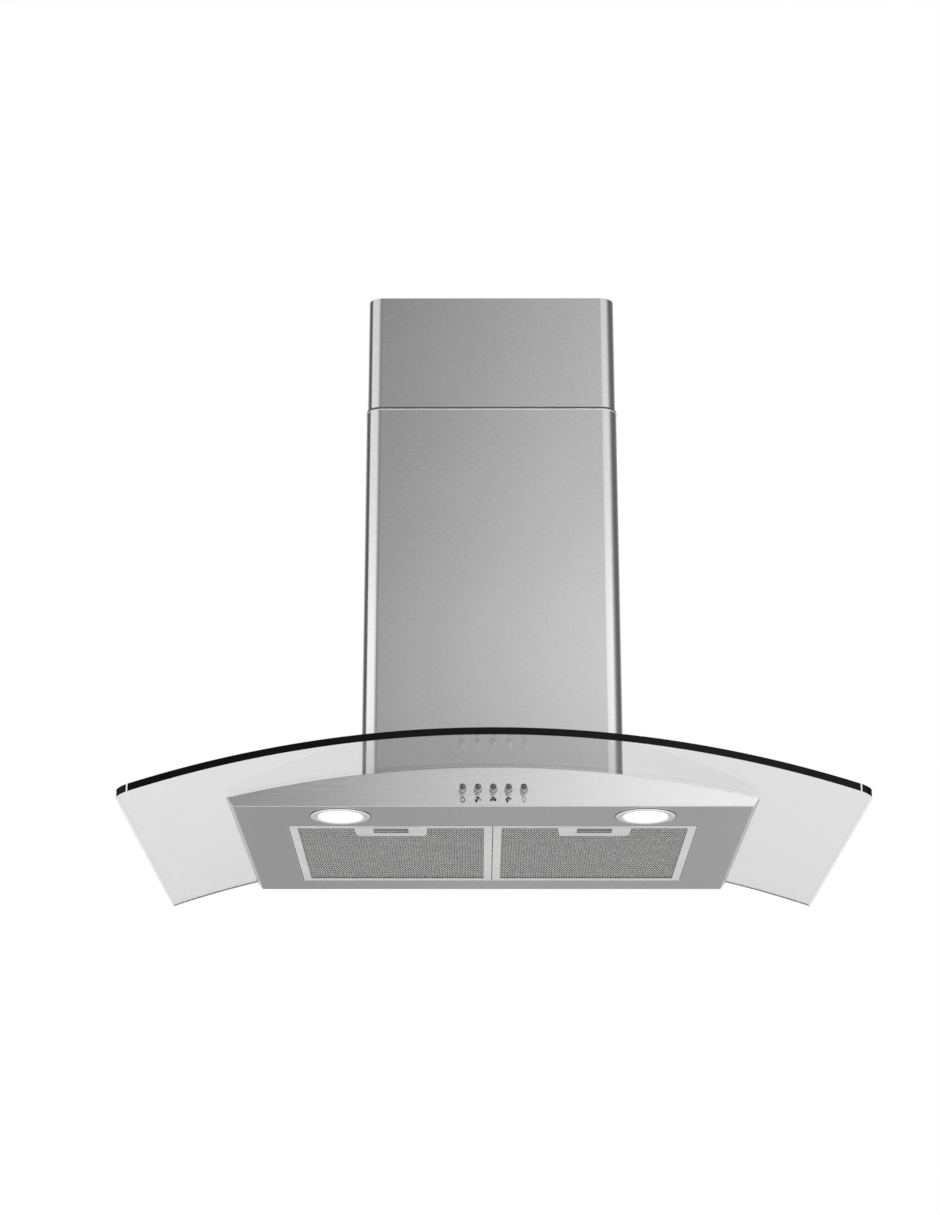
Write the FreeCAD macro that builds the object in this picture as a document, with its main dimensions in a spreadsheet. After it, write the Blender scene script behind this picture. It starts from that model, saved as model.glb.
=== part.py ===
import FreeCAD, Part
import math
import os
import Sketcher

# Wall-mounted range hood: an arched glass canopy on a shallow steel body, with a
# two-stage chimney, a blower, two hinged grease filters, two lamps and five buttons.
# Heights are counted from the underside of the canopy and depths from the wall, which
# is the plane y = 0. Each finished piece is then lowered by fixing_height, so that the
# origin lies at the centre of the wall fixing holes.

vector = FreeCAD.Vector
document = FreeCAD.newDocument("RangeHood")
table = document.addObject("Spreadsheet::Sheet", "Sizes")

driving_sizes = [
    ("sheet", 0.8, "steel sheet of the canopy, covers, boxes and filter frames"),
    ("seam", 0.1, "gap left between two formed sheets that lie on each other"),
    ("fit_gap", 0.2, "clearance of a piece that is dropped into its seat"),
    ("running_gap", 0.06, "radial clearance of a pin or stem that moves in its hole"),
    ("fixing_height", 200.0, "canopy underside to the centre of the wall holes"),

    ("glass_width", 750.0, "glass canopy, left to right"),
    ("glass_depth", 508.0, "glass canopy, wall to front edge"),
    ("glass_thickness", 7.5, "toughened glass"),
    ("glass_radius", 1154.0, "arch radius of the glass underside"),
    ("glass_rise", 43.3, "canopy underside to the top of that arch"),
    ("glass_corner", 13.0, "radius of the two front corners"),
    ("notch_side", 13.0, "glass cut-out beside the blower box"),
    ("notch_front", 24.0, "glass cut-out in front of the blower box"),
    ("notch_corner", 12.0, "inner corner radius of the cut-out"),
    ("tape", 0.5, "mounting tape between the glass and the canopy"),
    ("tape_width", 8.0, "width of the mounting tape"),
    ("screw_radius", 1.4, "shank of the sheet-metal screws"),
    ("screw_length", 6.0, "length of their shanks"),
    ("screw_head", 3.4, "corner radius of their hexagon heads"),
    ("screw_head_height", 1.6, "height of their heads"),

    ("canopy_half", 269.6, "half width of the canopy underside"),
    ("canopy_front", 391.0, "wall to the front edge of the underside"),
    ("canopy_back", 7.0, "how far the underside stops short of the wall"),
    ("flare", 7.0, "outward flare of the side walls"),
    ("flare_height", 9.7, "height over which the walls flare"),
    ("fascia_lean", 0.078, "backward lean of the fascia per millimetre of height"),
    ("flange", 12.0, "width of the folded top flange"),

    ("aperture_half", 218.2, "half width of the filter opening"),
    ("aperture_front", 309.1, "wall to the front edge of the filter opening"),
    ("aperture_back", 52.7, "wall to the back edge of the filter opening"),
    ("tray_height", 14.0, "top of the plenum tray above the underside"),
    ("tray_margin", 7.8, "plenum tray wall beyond the filter opening"),
    ("tray_foot", 7.0, "width of the tray's side feet"),
    ("tray_back", 9.0, "wall to the back of the plenum tray"),

    ("cover_width", 288.0, "lower chimney cover, left to right"),
    ("cover_depth", 260.0, "lower chimney cover, wall to front"),
    ("cover_top", 505.0, "top of the lower cover"),
    ("cover_corner", 17.0, "bend radius of the cover's front corners"),
    ("cover_lip", 12.0, "return lip of the lower cover along the wall"),
    ("cover_gap", 0.5, "clearance between the two covers and over the glass"),
    ("upper_top", 646.0, "top of the upper cover"),
    ("upper_length", 400.0, "length of the upper cover"),
    ("bracket_sheet", 1.5, "steel strip of the brackets"),
    ("bracket_drop", 20.0, "top of the upper cover to its wall slots"),
    ("bracket_height", 30.0, "height of the upper wall bracket"),
    ("bracket_ear", 38.0, "depth of the upper bracket's ears"),
    ("bracket_slot_pitch", 200.0, "distance between the two wall slots"),
    ("slot_length", 12.0, "end-to-end length of a wall slot"),
    ("slot_radius", 3.0, "half width of a wall slot"),

    ("box_side", 26.0, "side of the blower box to the side of the lower cover"),
    ("box_front", 38.0, "front of the blower box to the front of the lower cover"),
    ("box_top", 320.0, "top of the blower box"),
    ("box_flange", 11.0, "outward flange at the foot of the blower box"),
    ("hole_pitch_x", 180.0, "wall holes, left to right"),
    ("hole_pitch_z", 120.0, "wall holes, up and down"),
    ("hole_radius", 4.0, "wall hole radius"),

    ("wheel_z", 128.0, "blower axis, height"),
    ("wheel_gap", 9.5, "fan wheel to the scroll where the spiral starts"),
    ("blade_depth", 13.3, "depth of the fan wheel's blade ring"),
    ("wheel_half", 52.0, "half width of the fan wheel"),
    ("ring_width", 4.0, "width of the wheel's end rings"),
    ("blade_count", 24.0, "blades round the wheel"),
    ("blade_thickness", 0.9, "blade thickness"),
    ("blade_rise", 7.0, "how far a blade's tip leads its root"),
    ("web_x", 8.0, "place of the wheel's web along its axis"),
    ("web_thickness", 1.6, "thickness of the wheel's web"),
    ("hub_radius", 9.0, "radius of the wheel's hub"),
    ("hub_end", 22.0, "end of the hub along the axis"),
    ("scroll_half", 58.0, "half width inside the scroll"),
    ("scroll_room", 13.8, "scroll to the wall and to the front of the blower box"),
    ("scroll_growth", 8.0, "growth of the scroll per quarter turn"),
    ("scroll_top", 248.0, "top of the scroll outlet"),
    ("scroll_wall", 1.2, "wall of the scroll, inlets and outlet duct"),
    ("inlet_step", 5.2, "inside of the blade ring to the throat of the inlets"),
    ("inlet_lip", 12.0, "throat of the inlets to the rim of their rings"),
    ("inlet_depth", 6.0, "how far the inlet rings reach into the scroll"),
    ("shaft_radius", 4.0, "motor shaft"),
    ("shaft_start", -40.0, "inner end of the shaft along the axis"),
    ("shaft_end", 26.0, "outer end of the shaft along the axis"),
    ("motor_room", 12.0, "motor can to the throat of the inlets"),
    ("motor_front", -2.0, "front of the motor along the axis"),
    ("spider_sheet", 2.0, "motor bracket plate"),
    ("spider_margin", 8.0, "rim of the inlet rings to the motor bracket's feet"),

    ("collar_edge", 87.0, "front of the blower box to the middle of the collar"),
    ("collar_radius", 75.0, "outside of the outlet collar"),
    ("collar_wall", 1.6, "wall of the outlet collar"),
    ("collar_height", 46.0, "outlet collar above the blower box"),
    ("collar_flange", 84.0, "radius of the collar's base flange"),
    ("flap_height", 22.0, "damper pin above the blower box"),
    ("flap_thickness", 1.2, "damper flap"),
    ("pin_radius", 1.5, "damper pin"),
    ("knuckle_radius", 3.0, "corner radius of a damper knuckle"),

    ("lamp_x", 160.0, "lamp centre from the middle"),
    ("lamp_y", -350.9, "lamp centre, depth from the wall"),
    ("lamp_rim", 31.5, "outer radius of the lamp bezel"),
    ("lamp_lens", 23.7, "radius of the lamp lens"),
    ("lamp_body", 27.0, "radius of the lamp housing"),
    ("lamp_height", 22.0, "top of the lamp housing"),
    ("lamp_proud", 1.5, "lamp bezel below the canopy"),

    ("button_pitch", 15.85, "distance between the buttons"),
    ("button_height", 17.8, "button axis above the underside"),
    ("button_radius", 3.42, "button cap"),
    ("button_reach", 12.0, "button cap in front of the fascia"),
    ("stem_half", 2.0, "half width of a button's square stem"),
    ("bezel_radius", 4.4, "button bezel"),
    ("bezel_proud", 2.2, "button bezel in front of the fascia"),
    ("bezel_hole", 4.3, "corner radius of a button's hole in the fascia"),
    ("switch_half", 42.0, "half width of the switch block"),
    ("switch_near", 5.0, "switch block behind the fascia face"),
    ("switch_far", 36.0, "back of the switch block behind the fascia face"),
    ("switch_low", 9.0, "switch block below and above the buttons"),

    ("moulding", 1.6, "wall of the moulded boxes"),
    ("junction_half", 50.0, "half width of the junction box"),
    ("junction_depth", 22.0, "depth of the junction box"),
    ("junction_drop", 110.0, "top of the blower box to the underside of the junction box"),
    ("junction_height", 60.0, "height of the junction box"),
    ("terminal_count", 6.0, "terminals in the strip"),
    ("terminal_pitch", 10.0, "distance between the terminals"),
    ("terminal_height", 14.0, "height of the terminal strip"),
    ("terminal_depth", 12.0, "depth of the terminal strip"),
    ("terminal_pit", 4.8, "width of a terminal's pit"),
    ("cord_bore", 3.6, "radius of the cable gland's bore"),
    ("gland_neck", 6.0, "radius of the gland's neck in the junction box"),
    ("gland_nut", 9.0, "corner radius of the gland's body"),
    ("gland_height", 18.0, "height of the gland's body"),
    ("harness_x", -20.0, "harness from the middle"),
    ("harness_radius", 3.0, "corner radius of the harness sleeve"),
    ("harness_bend", 20.0, "bend radius of the harness"),
    ("harness_height", 26.0, "height of the harness over the underside"),
    ("driver_length", 62.0, "lamp driver, left to right"),
    ("driver_depth", 32.0, "lamp driver, front to back"),
    ("driver_height", 16.0, "height of the lamp driver"),
    ("driver_x", 60.0, "near end of the lamp driver from the middle"),
    ("driver_y", -346.0, "back of the lamp driver, depth from the wall"),

    ("filter_gap", 0.8, "gap round and between the filters"),
    ("filter_height", 9.0, "thickness of a filter"),
    ("filter_rim", 9.0, "visible rim of a filter"),
    ("mesh_pleats", 16.0, "crimps in the filter mesh"),
    ("mesh_crimp", 1.4, "depth of a crimp"),
    ("tab_width", 16.0, "rear hook tab of a filter"),
    ("tab_reach", 7.0, "rear hook tab beyond the filter"),
    ("tab_offset", 60.0, "rear hook tab from the filter's middle"),
    ("latch_half", 39.5, "half width of the latch plate at the rim"),
    ("latch_taper", 2.0, "how much each side of the plate draws in"),
    ("latch_back", 41.5, "latch plate behind the rim's front edge"),
    ("latch_round", 6.0, "rear corner radius of the latch plate"),
    ("latch_sheet", 0.6, "latch plate below the filter's rim"),
    ("slot_half", 18.7, "half width of the finger slot"),
    ("slot_front", 9.3, "finger slot behind the filter's front edge"),
    ("slot_back", 27.5, "far side of the finger slot"),
    ("grip_front", 17.4, "finger bar behind the filter's front edge"),
    ("grip_depth", 5.0, "thickness of the finger bar"),
    ("tongue_half", 9.0, "half width of the latch tongue"),
    ("tongue_low", 1.3, "underside of the tongue above the canopy underside"),
    ("tongue_high", 3.2, "top of the tongue"),
]

for row, (alias, amount, note) in enumerate(driving_sizes, start=1):
    table.set("A%d" % row, alias)
    table.set("B%d" % row, str(amount))
    table.setAlias("B%d" % row, alias)
    table.set("C%d" % row, note)
document.recompute()


class Size:
    """A length together with the formula that gives it, so that a shape can be drawn
    at its number and bound to its formula."""

    def __init__(self, number, formula):
        self.number = number
        self.formula = formula

    def __add__(self, other):
        other = as_size(other)
        return Size(self.number + other.number, "(%s + %s)" % (self.formula, other.formula))

    def __sub__(self, other):
        other = as_size(other)
        return Size(self.number - other.number, "(%s - %s)" % (self.formula, other.formula))

    def __mul__(self, other):
        other = as_size(other)
        return Size(self.number * other.number, "(%s * %s)" % (self.formula, other.formula))

    def __truediv__(self, other):
        other = as_size(other)
        return Size(self.number / other.number, "(%s / %s)" % (self.formula, other.formula))

    def __radd__(self, other):
        return as_size(other) + self

    def __rsub__(self, other):
        return as_size(other) - self

    def __rmul__(self, other):
        return as_size(other) * self

    def __neg__(self):
        return Size(-self.number, "(-1 * %s)" % self.formula)


def as_size(thing):
    if isinstance(thing, Size):
        return thing
    return Size(float(thing), "(%s)" % float(thing))


def root(thing):
    thing = as_size(thing)
    return Size(math.sqrt(thing.number), "sqrt(%s)" % thing.formula)


def size(alias):
    return Size(float(getattr(table, alias)), "Sizes.%s" % alias)


def number(thing):
    return as_size(thing).number


def bind(thing, name, amount):
    thing.setExpression(name, as_size(amount).formula)


# Sizes that several pieces share.
sheet = size("sheet")
seam = size("seam")
fit_gap = size("fit_gap")
running_gap = size("running_gap")
glass_radius = size("glass_radius")
arch_centre = size("glass_rise") - glass_radius
glass_top_radius = glass_radius + size("glass_thickness")
tray_height = size("tray_height")
tray_half = size("aperture_half") + size("tray_margin")
tray_front = size("aperture_front") + size("tray_margin")
cover_half = size("cover_width") / 2
cover_depth = size("cover_depth")
box_half = cover_half - size("box_side")
box_depth = cover_depth - size("box_front")
box_top = size("box_top")
notch_half = box_half + size("notch_side")
notch_depth = box_depth + size("notch_front")
upper_half = cover_half - sheet - size("cover_gap")
upper_depth = cover_depth - sheet - size("cover_gap")
upper_rear = sheet + size("cover_gap")
scroll_wall = size("scroll_wall")
scroll_step = size("scroll_growth")
scroll_radius = (box_depth - (size("scroll_room") + scroll_wall) * 2 - scroll_step * 3) / 2
wheel_y = -(size("scroll_room") + scroll_wall + scroll_radius + scroll_step / 2)
wheel_z = size("wheel_z")
wheel_radius = scroll_radius - size("wheel_gap")
wheel_inner = wheel_radius - size("blade_depth")
inlet_radius = wheel_inner - size("inlet_step")
inlet_rim = inlet_radius + size("inlet_lip")
motor_radius = inlet_radius - size("motor_room")
collar_y = size("collar_edge") - box_depth
junction_low = box_top - size("junction_drop")
lean = size("fascia_lean")
lean_length = root(lean * lean + 1)
lean_angle = Size(-math.degrees(math.atan(lean.number)), "(atan(%s) / (-1 deg))" % lean.formula)
button_height = size("button_height")
fascia_y = lean * button_height - size("canopy_front")
filter_width = size("aperture_half") - size("filter_gap") * 1.5
filter_depth = size("aperture_front") - size("aperture_back") - size("filter_gap") * 2
filter_height = size("filter_height")
filter_front = size("filter_gap") - size("aperture_front")
filter_rear = -(size("aperture_back") + size("filter_gap"))
filter_middle = size("filter_gap") / 2 + filter_width / 2


def arch_height(radius, x):
    """Height of an arch of that radius about the glass's centre line, x from the middle."""
    return arch_centre + root(radius * radius - x * x)


# Drawing and modelling helpers.

def new_body(name):
    body = document.addObject("PartDesign::Body", name)
    body.AllowCompound = True
    return body


def sketch_on(body, role, shift=0):
    """Empty sketch on one of the body's origin planes, moved along its normal."""
    plane = [feature for feature in body.Origin.OriginFeatures if feature.Role == role][0]
    sketch = body.newObject("Sketcher::SketchObject", "Outline")
    sketch.AttachmentSupport = [(plane, "")]
    sketch.MapMode = "FlatFace"
    bind(sketch, "AttachmentOffset.Base.z", shift)
    return sketch


def hold(sketch, constraint, amount):
    index = sketch.addConstraint(constraint)
    name = "size%d" % index
    sketch.renameConstraint(index, name)
    bind(sketch, "Constraints." + name, amount)


def hold_point(sketch, edge, end, x, y):
    hold(sketch, Sketcher.Constraint("DistanceX", -1, 1, edge, end, number(x)), x)
    hold(sketch, Sketcher.Constraint("DistanceY", -1, 1, edge, end, number(y)), y)


def arc_between(start, end, radius):
    """Arc under a half turn from start to end; its centre is on the left if radius > 0."""
    chord = end - start
    left = vector(-chord.y, chord.x, 0).normalize()
    rise = math.sqrt(max(radius * radius - chord.Length ** 2 / 4, 0))
    centre = (start + end) / 2 + left * rise * (1 if radius > 0 else -1)
    first, last = (start, end) if radius > 0 else (end, start)
    angles = [math.atan2(point.y - centre.y, point.x - centre.x) for point in (first, last)]
    circle = Part.Circle(centre, vector(0, 0, 1), abs(radius))
    return Part.ArcOfCircle(circle, angles[0], angles[1])


def draw_loop(sketch, corners):
    """Closed loop through corners (x, y) or (x, y, radius): with a radius, the edge that
    leaves the corner is an arc."""
    points = [vector(number(corner[0]), number(corner[1]), 0) for corner in corners]
    first = sketch.GeometryCount
    ends = []
    for index, corner in enumerate(corners):
        start = points[index]
        end = points[(index + 1) % len(points)]
        if len(corner) == 2:
            sketch.addGeometry(Part.LineSegment(start, end), False)
            ends.append((1, 2))
        else:
            sketch.addGeometry(arc_between(start, end, number(corner[2])), False)
            ends.append((1, 2) if number(corner[2]) > 0 else (2, 1))
    for index in range(len(corners)):
        after = (index + 1) % len(corners)
        meeting = (first + index, ends[index][1], first + after, ends[after][0])
        sketch.addConstraint(Sketcher.Constraint("Coincident", *meeting))
    for index, corner in enumerate(corners):
        hold_point(sketch, first + index, ends[index][0], corner[0], corner[1])
        if len(corner) == 3:
            radius = corner[2] if number(corner[2]) > 0 else -corner[2]
            hold(sketch, Sketcher.Constraint("Radius", first + index, number(radius)), radius)


def draw_box(sketch, x_low, y_low, x_high, y_high):
    draw_loop(sketch, [(x_low, y_low), (x_high, y_low), (x_high, y_high), (x_low, y_high)])


def draw_circle(sketch, x, y, radius):
    circle = Part.Circle(vector(number(x), number(y), 0), vector(0, 0, 1), number(radius))
    index = sketch.addGeometry(circle, False)
    hold_point(sketch, index, 3, x, y)
    hold(sketch, Sketcher.Constraint("Radius", index, number(radius)), radius)


def pad(body, sketch, length, side="One side", back=False):
    feature = body.newObject("PartDesign::Pad", "Pad")
    feature.Profile = sketch
    feature.SideType = side
    feature.Reversed = back
    bind(feature, "Length", length)
    body.Tip = feature
    return feature


def pocket(body, sketch, length=None, side="One side", back=False):
    """Cut the sketch to a length, or through everything on both sides."""
    feature = body.newObject("PartDesign::Pocket", "Pocket")
    feature.Profile = sketch
    feature.SideType = side
    feature.Reversed = back
    if length is None:
        feature.Type = "ThroughAll"
        feature.SideType = "Symmetric"
    else:
        bind(feature, "Length", length)
    body.Tip = feature
    return feature


def revolve(body, sketch, axis, angle=360):
    feature = body.newObject("PartDesign::Revolution", "Revolution")
    feature.Profile = sketch
    feature.ReferenceAxis = (sketch, [axis])
    feature.Angle = angle
    body.Tip = feature
    return feature


def block(low, high):
    """Box between two corners."""
    box = document.addObject("Part::Box", "Block")
    for name, axis, index in (("Length", "x", 0), ("Width", "y", 1), ("Height", "z", 2)):
        bind(box, name, as_size(high[index]) - low[index])
        bind(box, "Placement.Base." + axis, low[index])
    return box


def mirrored_block(sign, near, far, y_low, y_high, z_low, z_high):
    """Box on the right of the middle, or its mirror image for a negative sign."""
    low, high = (near, far) if sign > 0 else (-as_size(far), -as_size(near))
    return block((low, y_low, z_low), (high, y_high, z_high))


turns = {
    "x": FreeCAD.Rotation(vector(0, 1, 0), 90),
    "y": FreeCAD.Rotation(vector(1, 0, 0), -90),
    "z": FreeCAD.Rotation(),
}


def rod(start, radius, length, along="z"):
    """Cylinder from a point, along the positive axis."""
    cylinder = document.addObject("Part::Cylinder", "Rod")
    cylinder.Placement = FreeCAD.Placement(vector(0, 0, 0), turns[along])
    bind(cylinder, "Radius", radius)
    bind(cylinder, "Height", length)
    for axis, place in zip("xyz", start):
        bind(cylinder, "Placement.Base." + axis, place)
    return cylinder


def fuse(*shapes):
    joined = document.addObject("Part::MultiFuse", "Fusion")
    joined.Shapes = list(shapes)
    return joined


def cut(base, *tools):
    removed = document.addObject("Part::Cut", "Cut")
    removed.Base = base
    removed.Tool = tools[0] if len(tools) == 1 else group(tools)
    return removed


def common(*shapes):
    shared = document.addObject("Part::MultiCommon", "Common")
    shared.Shapes = list(shapes)
    return shared


def group(shapes):
    """Separate solids kept together, such as a set of equal screws."""
    together = document.addObject("Part::Compound", "Group")
    together.Links = list(shapes)
    return together


pieces = {}


def seat(thing, label, x=0, y=0, z=0, tilt=None):
    """Name a finished piece and put it in its place."""
    if tilt is not None:
        thing.Placement = FreeCAD.Placement(vector(0, 0, 0), FreeCAD.Rotation(vector(1, 0, 0), -5))
        bind(thing, "Placement.Rotation.Angle", tilt)
    bind(thing, "Placement.Base.x", x)
    bind(thing, "Placement.Base.y", y)
    bind(thing, "Placement.Base.z", as_size(z) - size("fixing_height"))
    thing.Label = label
    pieces[label] = thing


def prism(start, radius, length, along="z"):
    """Hexagonal bar from a point, along the positive axis."""
    bar = document.addObject("Part::Prism", "Prism")
    bar.Polygon = 6
    bar.Placement = FreeCAD.Placement(vector(0, 0, 0), turns[along])
    bind(bar, "Circumradius", radius)
    bind(bar, "Height", length)
    for axis, place in zip("xyz", start):
        bind(bar, "Placement.Base." + axis, place)
    return bar


def screw(head, along, sign):
    """Hexagon-head sheet-metal screw: the head stands on the point, on the side that the
    sign gives, and the shank runs the other way."""
    index = "xyz".index(along)
    head_start = list(head)
    shank_start = list(head)
    if sign < 0:
        head_start[index] = head[index] - size("screw_head_height")
    else:
        shank_start[index] = head[index] - size("screw_length")
    return fuse(
        prism(head_start, size("screw_head"), size("screw_head_height"), along),
        prism(shank_start, size("screw_radius"), size("screw_length"), along),
    )


def drill(head, along):
    """Hole for such a screw, through the sheets on both sides of the point."""
    index = "xyz".index(along)
    start = list(head)
    start[index] = head[index] - size("screw_length")
    return prism(start, size("screw_radius") + seam, size("screw_length") * 2, along)


# ---- Canopy ----

def side_profile(inset, top):
    """Cross-section of the canopy, seen from the front, drawn in by the sheet."""
    slope = size("flare") / size("flare_height")
    shift = root(slope * slope + 1) * inset
    low = size("canopy_half") + slope * inset - shift
    high = size("canopy_half") + slope * top - shift
    body = new_body("SideProfile")
    sketch = sketch_on(body, "XZ_Plane", -size("flange"))
    draw_loop(sketch, [(-low, inset), (low, inset), (high, top), (-high, top)])
    pad(body, sketch, size("canopy_front") + size("flange") * 2)
    return body


def depth_profile(inset, top):
    """Cross-section of the canopy, seen from the side, drawn in by the sheet."""
    slope = size("canopy_back") / size("flare_height")
    shift = root(slope * slope + 1) * inset
    back_low = slope * inset - size("canopy_back") - shift
    knee = (size("canopy_back") - inset + shift) / slope
    front = lean_length * inset - size("canopy_front")
    body = new_body("DepthProfile")
    sketch = sketch_on(body, "YZ_Plane")
    draw_loop(sketch, [
        (front + lean * inset, inset),
        (back_low, inset),
        (-as_size(inset), knee),
        (-as_size(inset), top),
        (front + lean * top, top),
    ])
    pad(body, sketch, size("glass_width"), "Symmetric")
    return body


def arch(drop):
    """Everything under an arch that lies that far below the glass underside."""
    return rod((0, -size("glass_depth"), arch_centre), glass_radius - drop,
               size("glass_depth") * 2, "y")


def canopy_block(inset, drop):
    top = size("glass_rise") + size("flange")
    return common(side_profile(inset, top), depth_profile(inset, top), arch(drop))


def blower_gap(low, high):
    """Space that the blower box takes, from the wall to the front of the glass cut-out."""
    return block((-notch_half, -notch_depth, low), (notch_half, size("flange"), high))


def canopy_shell():
    flange = size("flange") + sheet
    window_half = size("canopy_half") - flange
    above = size("glass_rise") + size("flange")
    window = block((-window_half, flange - size("canopy_front"), sheet * 2),
                   (window_half, -flange, above))
    aperture_half = size("aperture_half")
    aperture = block((-aperture_half, -size("aperture_front"), -sheet),
                     (aperture_half, -size("aperture_back"), sheet * 2))
    tools = [
        canopy_block(sheet, size("tape") + sheet),
        window,
        aperture,
        blower_gap(tray_height, above),
    ]
    for x in (-size("lamp_x"), size("lamp_x")):
        tools.append(rod((x, size("lamp_y"), -sheet), size("lamp_body") + fit_gap * 2, sheet * 3))
    for index in range(5):
        x = size("button_pitch") * (index - 2)
        hole = prism((x, 0, 0), size("bezel_hole"), size("flange"), "y")
        tools.append(tilted(hole, x, -size("flange") / 2))
    shell = cut(canopy_block(0, size("tape")), *tools)
    seat(shell, "canopy_shell")


def tilted(rod_along_y, x, start):
    """Turn a rod along y square to the fascia, starting that far from its face."""
    bind(rod_along_y, "Placement.Rotation.Angle", -90 + lean_angle)
    bind(rod_along_y, "Placement.Base.x", x)
    bind(rod_along_y, "Placement.Base.y", fascia_y + as_size(start) / lean_length)
    bind(rod_along_y, "Placement.Base.z", button_height - as_size(start) * lean / lean_length)
    return rod_along_y


def canopy_top():
    outer = canopy_block(sheet + seam, size("tape") + sheet + seam)
    plate = cut(outer, arch(size("tape") + sheet * 2 + seam),
                blower_gap(0, size("glass_rise") + size("flange")))
    seat(plate, "canopy_top")


def plenum_tray():
    opening_half = box_half - sheet * 5
    outer = block((-tray_half, -tray_front, sheet), (tray_half, -size("tray_back"), tray_height))
    inner = block((sheet - tray_half, sheet - tray_front, 0),
                  (tray_half - sheet, -size("tray_back") - sheet, tray_height - sheet))
    opening = block((-opening_half, sheet * 4 - box_depth, 0),
                    (opening_half, -size("tray_back") - sheet * 4, tray_height + sheet))
    feet = [
        mirrored_block(sign, tray_half - sheet, tray_half + size("tray_foot"),
                       -tray_front, -size("tray_back"), sheet, sheet * 2)
        for sign in (-1, 1)
    ]
    seat(fuse(cut(outer, inner, opening), *feet), "plenum_tray")


def mounting_tape():
    """Frame of tape that lies on the canopy's top flange, open round the blower box."""
    margin = size("flange") - size("tape_width")
    half = size("canopy_half")
    front = size("canopy_front") - lean * size("glass_rise")
    outer = block((margin / 2 - half, margin / 2 - front, 0),
                  (half - margin / 2, -margin / 2, size("glass_rise") + size("flange")))
    step = margin / 2 + size("tape_width")
    inner = block((step - half, step - front, -sheet),
                  (half - step, -step, size("glass_rise") + size("flange") * 2))
    skin = cut(arch(size("tape") * 0.1), arch(size("tape") * 0.9))
    tape = cut(common(outer, skin), inner, blower_gap(0, size("glass_rise") + size("flange")))
    seat(tape, "mounting_tape")


def glass_canopy():
    half = size("glass_width") / 2
    depth = size("glass_depth")
    corner = size("glass_corner")
    inner = size("notch_corner")
    body = new_body("GlassOutline")
    sketch = sketch_on(body, "XY_Plane", -size("glass_depth") / 2)
    draw_loop(sketch, [
        (-half, 0),
        (-half, corner - depth, corner),
        (corner - half, -depth),
        (half - corner, -depth, corner),
        (half, corner - depth),
        (half, 0),
        (notch_half, 0),
        (notch_half, inner - notch_depth, -inner),
        (notch_half - inner, -notch_depth),
        (inner - notch_half, -notch_depth, -inner),
        (-notch_half, inner - notch_depth),
        (-notch_half, 0),
    ])
    pad(body, sketch, size("glass_depth"))
    skin = cut(arch(-size("glass_thickness")), arch(0))
    seat(common(body, skin), "glass_canopy")


def glass_clips():
    """Angle clips on the sides of the blower box; each presses a rubber pad on the glass."""
    strip = size("bracket_sheet")
    half = size("bracket_height") / 4
    reach = notch_half + size("cover_lip") * 0.75
    shelf = arch_height(glass_top_radius, notch_half) + strip * 2
    clips = []
    pads = []
    for sign in (-1, 1):
        for depth in (box_depth * 0.45, box_depth * 0.85):
            near = -(depth + half)
            far = half - depth
            clips.append(fuse(
                mirrored_block(sign, box_half, box_half + strip, near, far,
                               shelf, shelf + size("bracket_height")),
                mirrored_block(sign, box_half, reach, near, far, shelf, shelf + strip),
            ))
            rubber = mirrored_block(sign, notch_half + fit_gap * 5, reach,
                                    near, far, 0, shelf)
            pads.append(cut(rubber, arch(-size("glass_thickness") - seam)))
    seat(group(clips), "glass_clips")
    seat(group(pads), "clip_pads")


# ---- Chimney ----

def cover_sheet(half, depth, rear, corner, low, high):
    """Bent chimney sheet, open at the wall: its outline seen from above, made tall."""
    body = new_body("CoverSheet")
    sketch = sketch_on(body, "XY_Plane", low)
    draw_loop(sketch, [
        (-half, -as_size(rear)),
        (-half, corner - depth, corner),
        (corner - half, -depth),
        (half - corner, -depth, corner),
        (half, corner - depth),
        (half, -as_size(rear)),
        (half - sheet, -as_size(rear)),
        (half - sheet, corner - depth, -(corner - sheet)),
        (half - corner, sheet - depth),
        (corner - half, sheet - depth, -(corner - sheet)),
        (sheet - half, corner - depth),
        (sheet - half, -as_size(rear)),
    ])
    pad(body, sketch, high - as_size(low))
    return body


def bracket_heights():
    """Height of the two screws on each side of the lower cover."""
    middle = arch_height(glass_top_radius, cover_half) + size("bracket_height")
    return [middle - size("bracket_height") / 3, middle + size("bracket_height") / 3]


def cover_screw_points():
    y = -(size("bracket_height") * 0.6)
    return [(sign, (cover_half * sign, y, z)) for sign in (-1, 1) for z in bracket_heights()]


def lower_cover():
    top = size("cover_top")
    tall = cover_sheet(cover_half, cover_depth, 0, size("cover_corner"), 0, top)
    lips = [
        mirrored_block(sign, cover_half - size("cover_lip"), cover_half - sheet / 2,
                       -sheet, 0, 0, top)
        for sign in (-1, 1)
    ]
    holes = [drill(point, "x") for sign, point in cover_screw_points()]
    cover = cut(fuse(tall, *lips), arch(-size("glass_thickness") - size("cover_gap")), *holes)
    seat(cover, "lower_cover")


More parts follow.
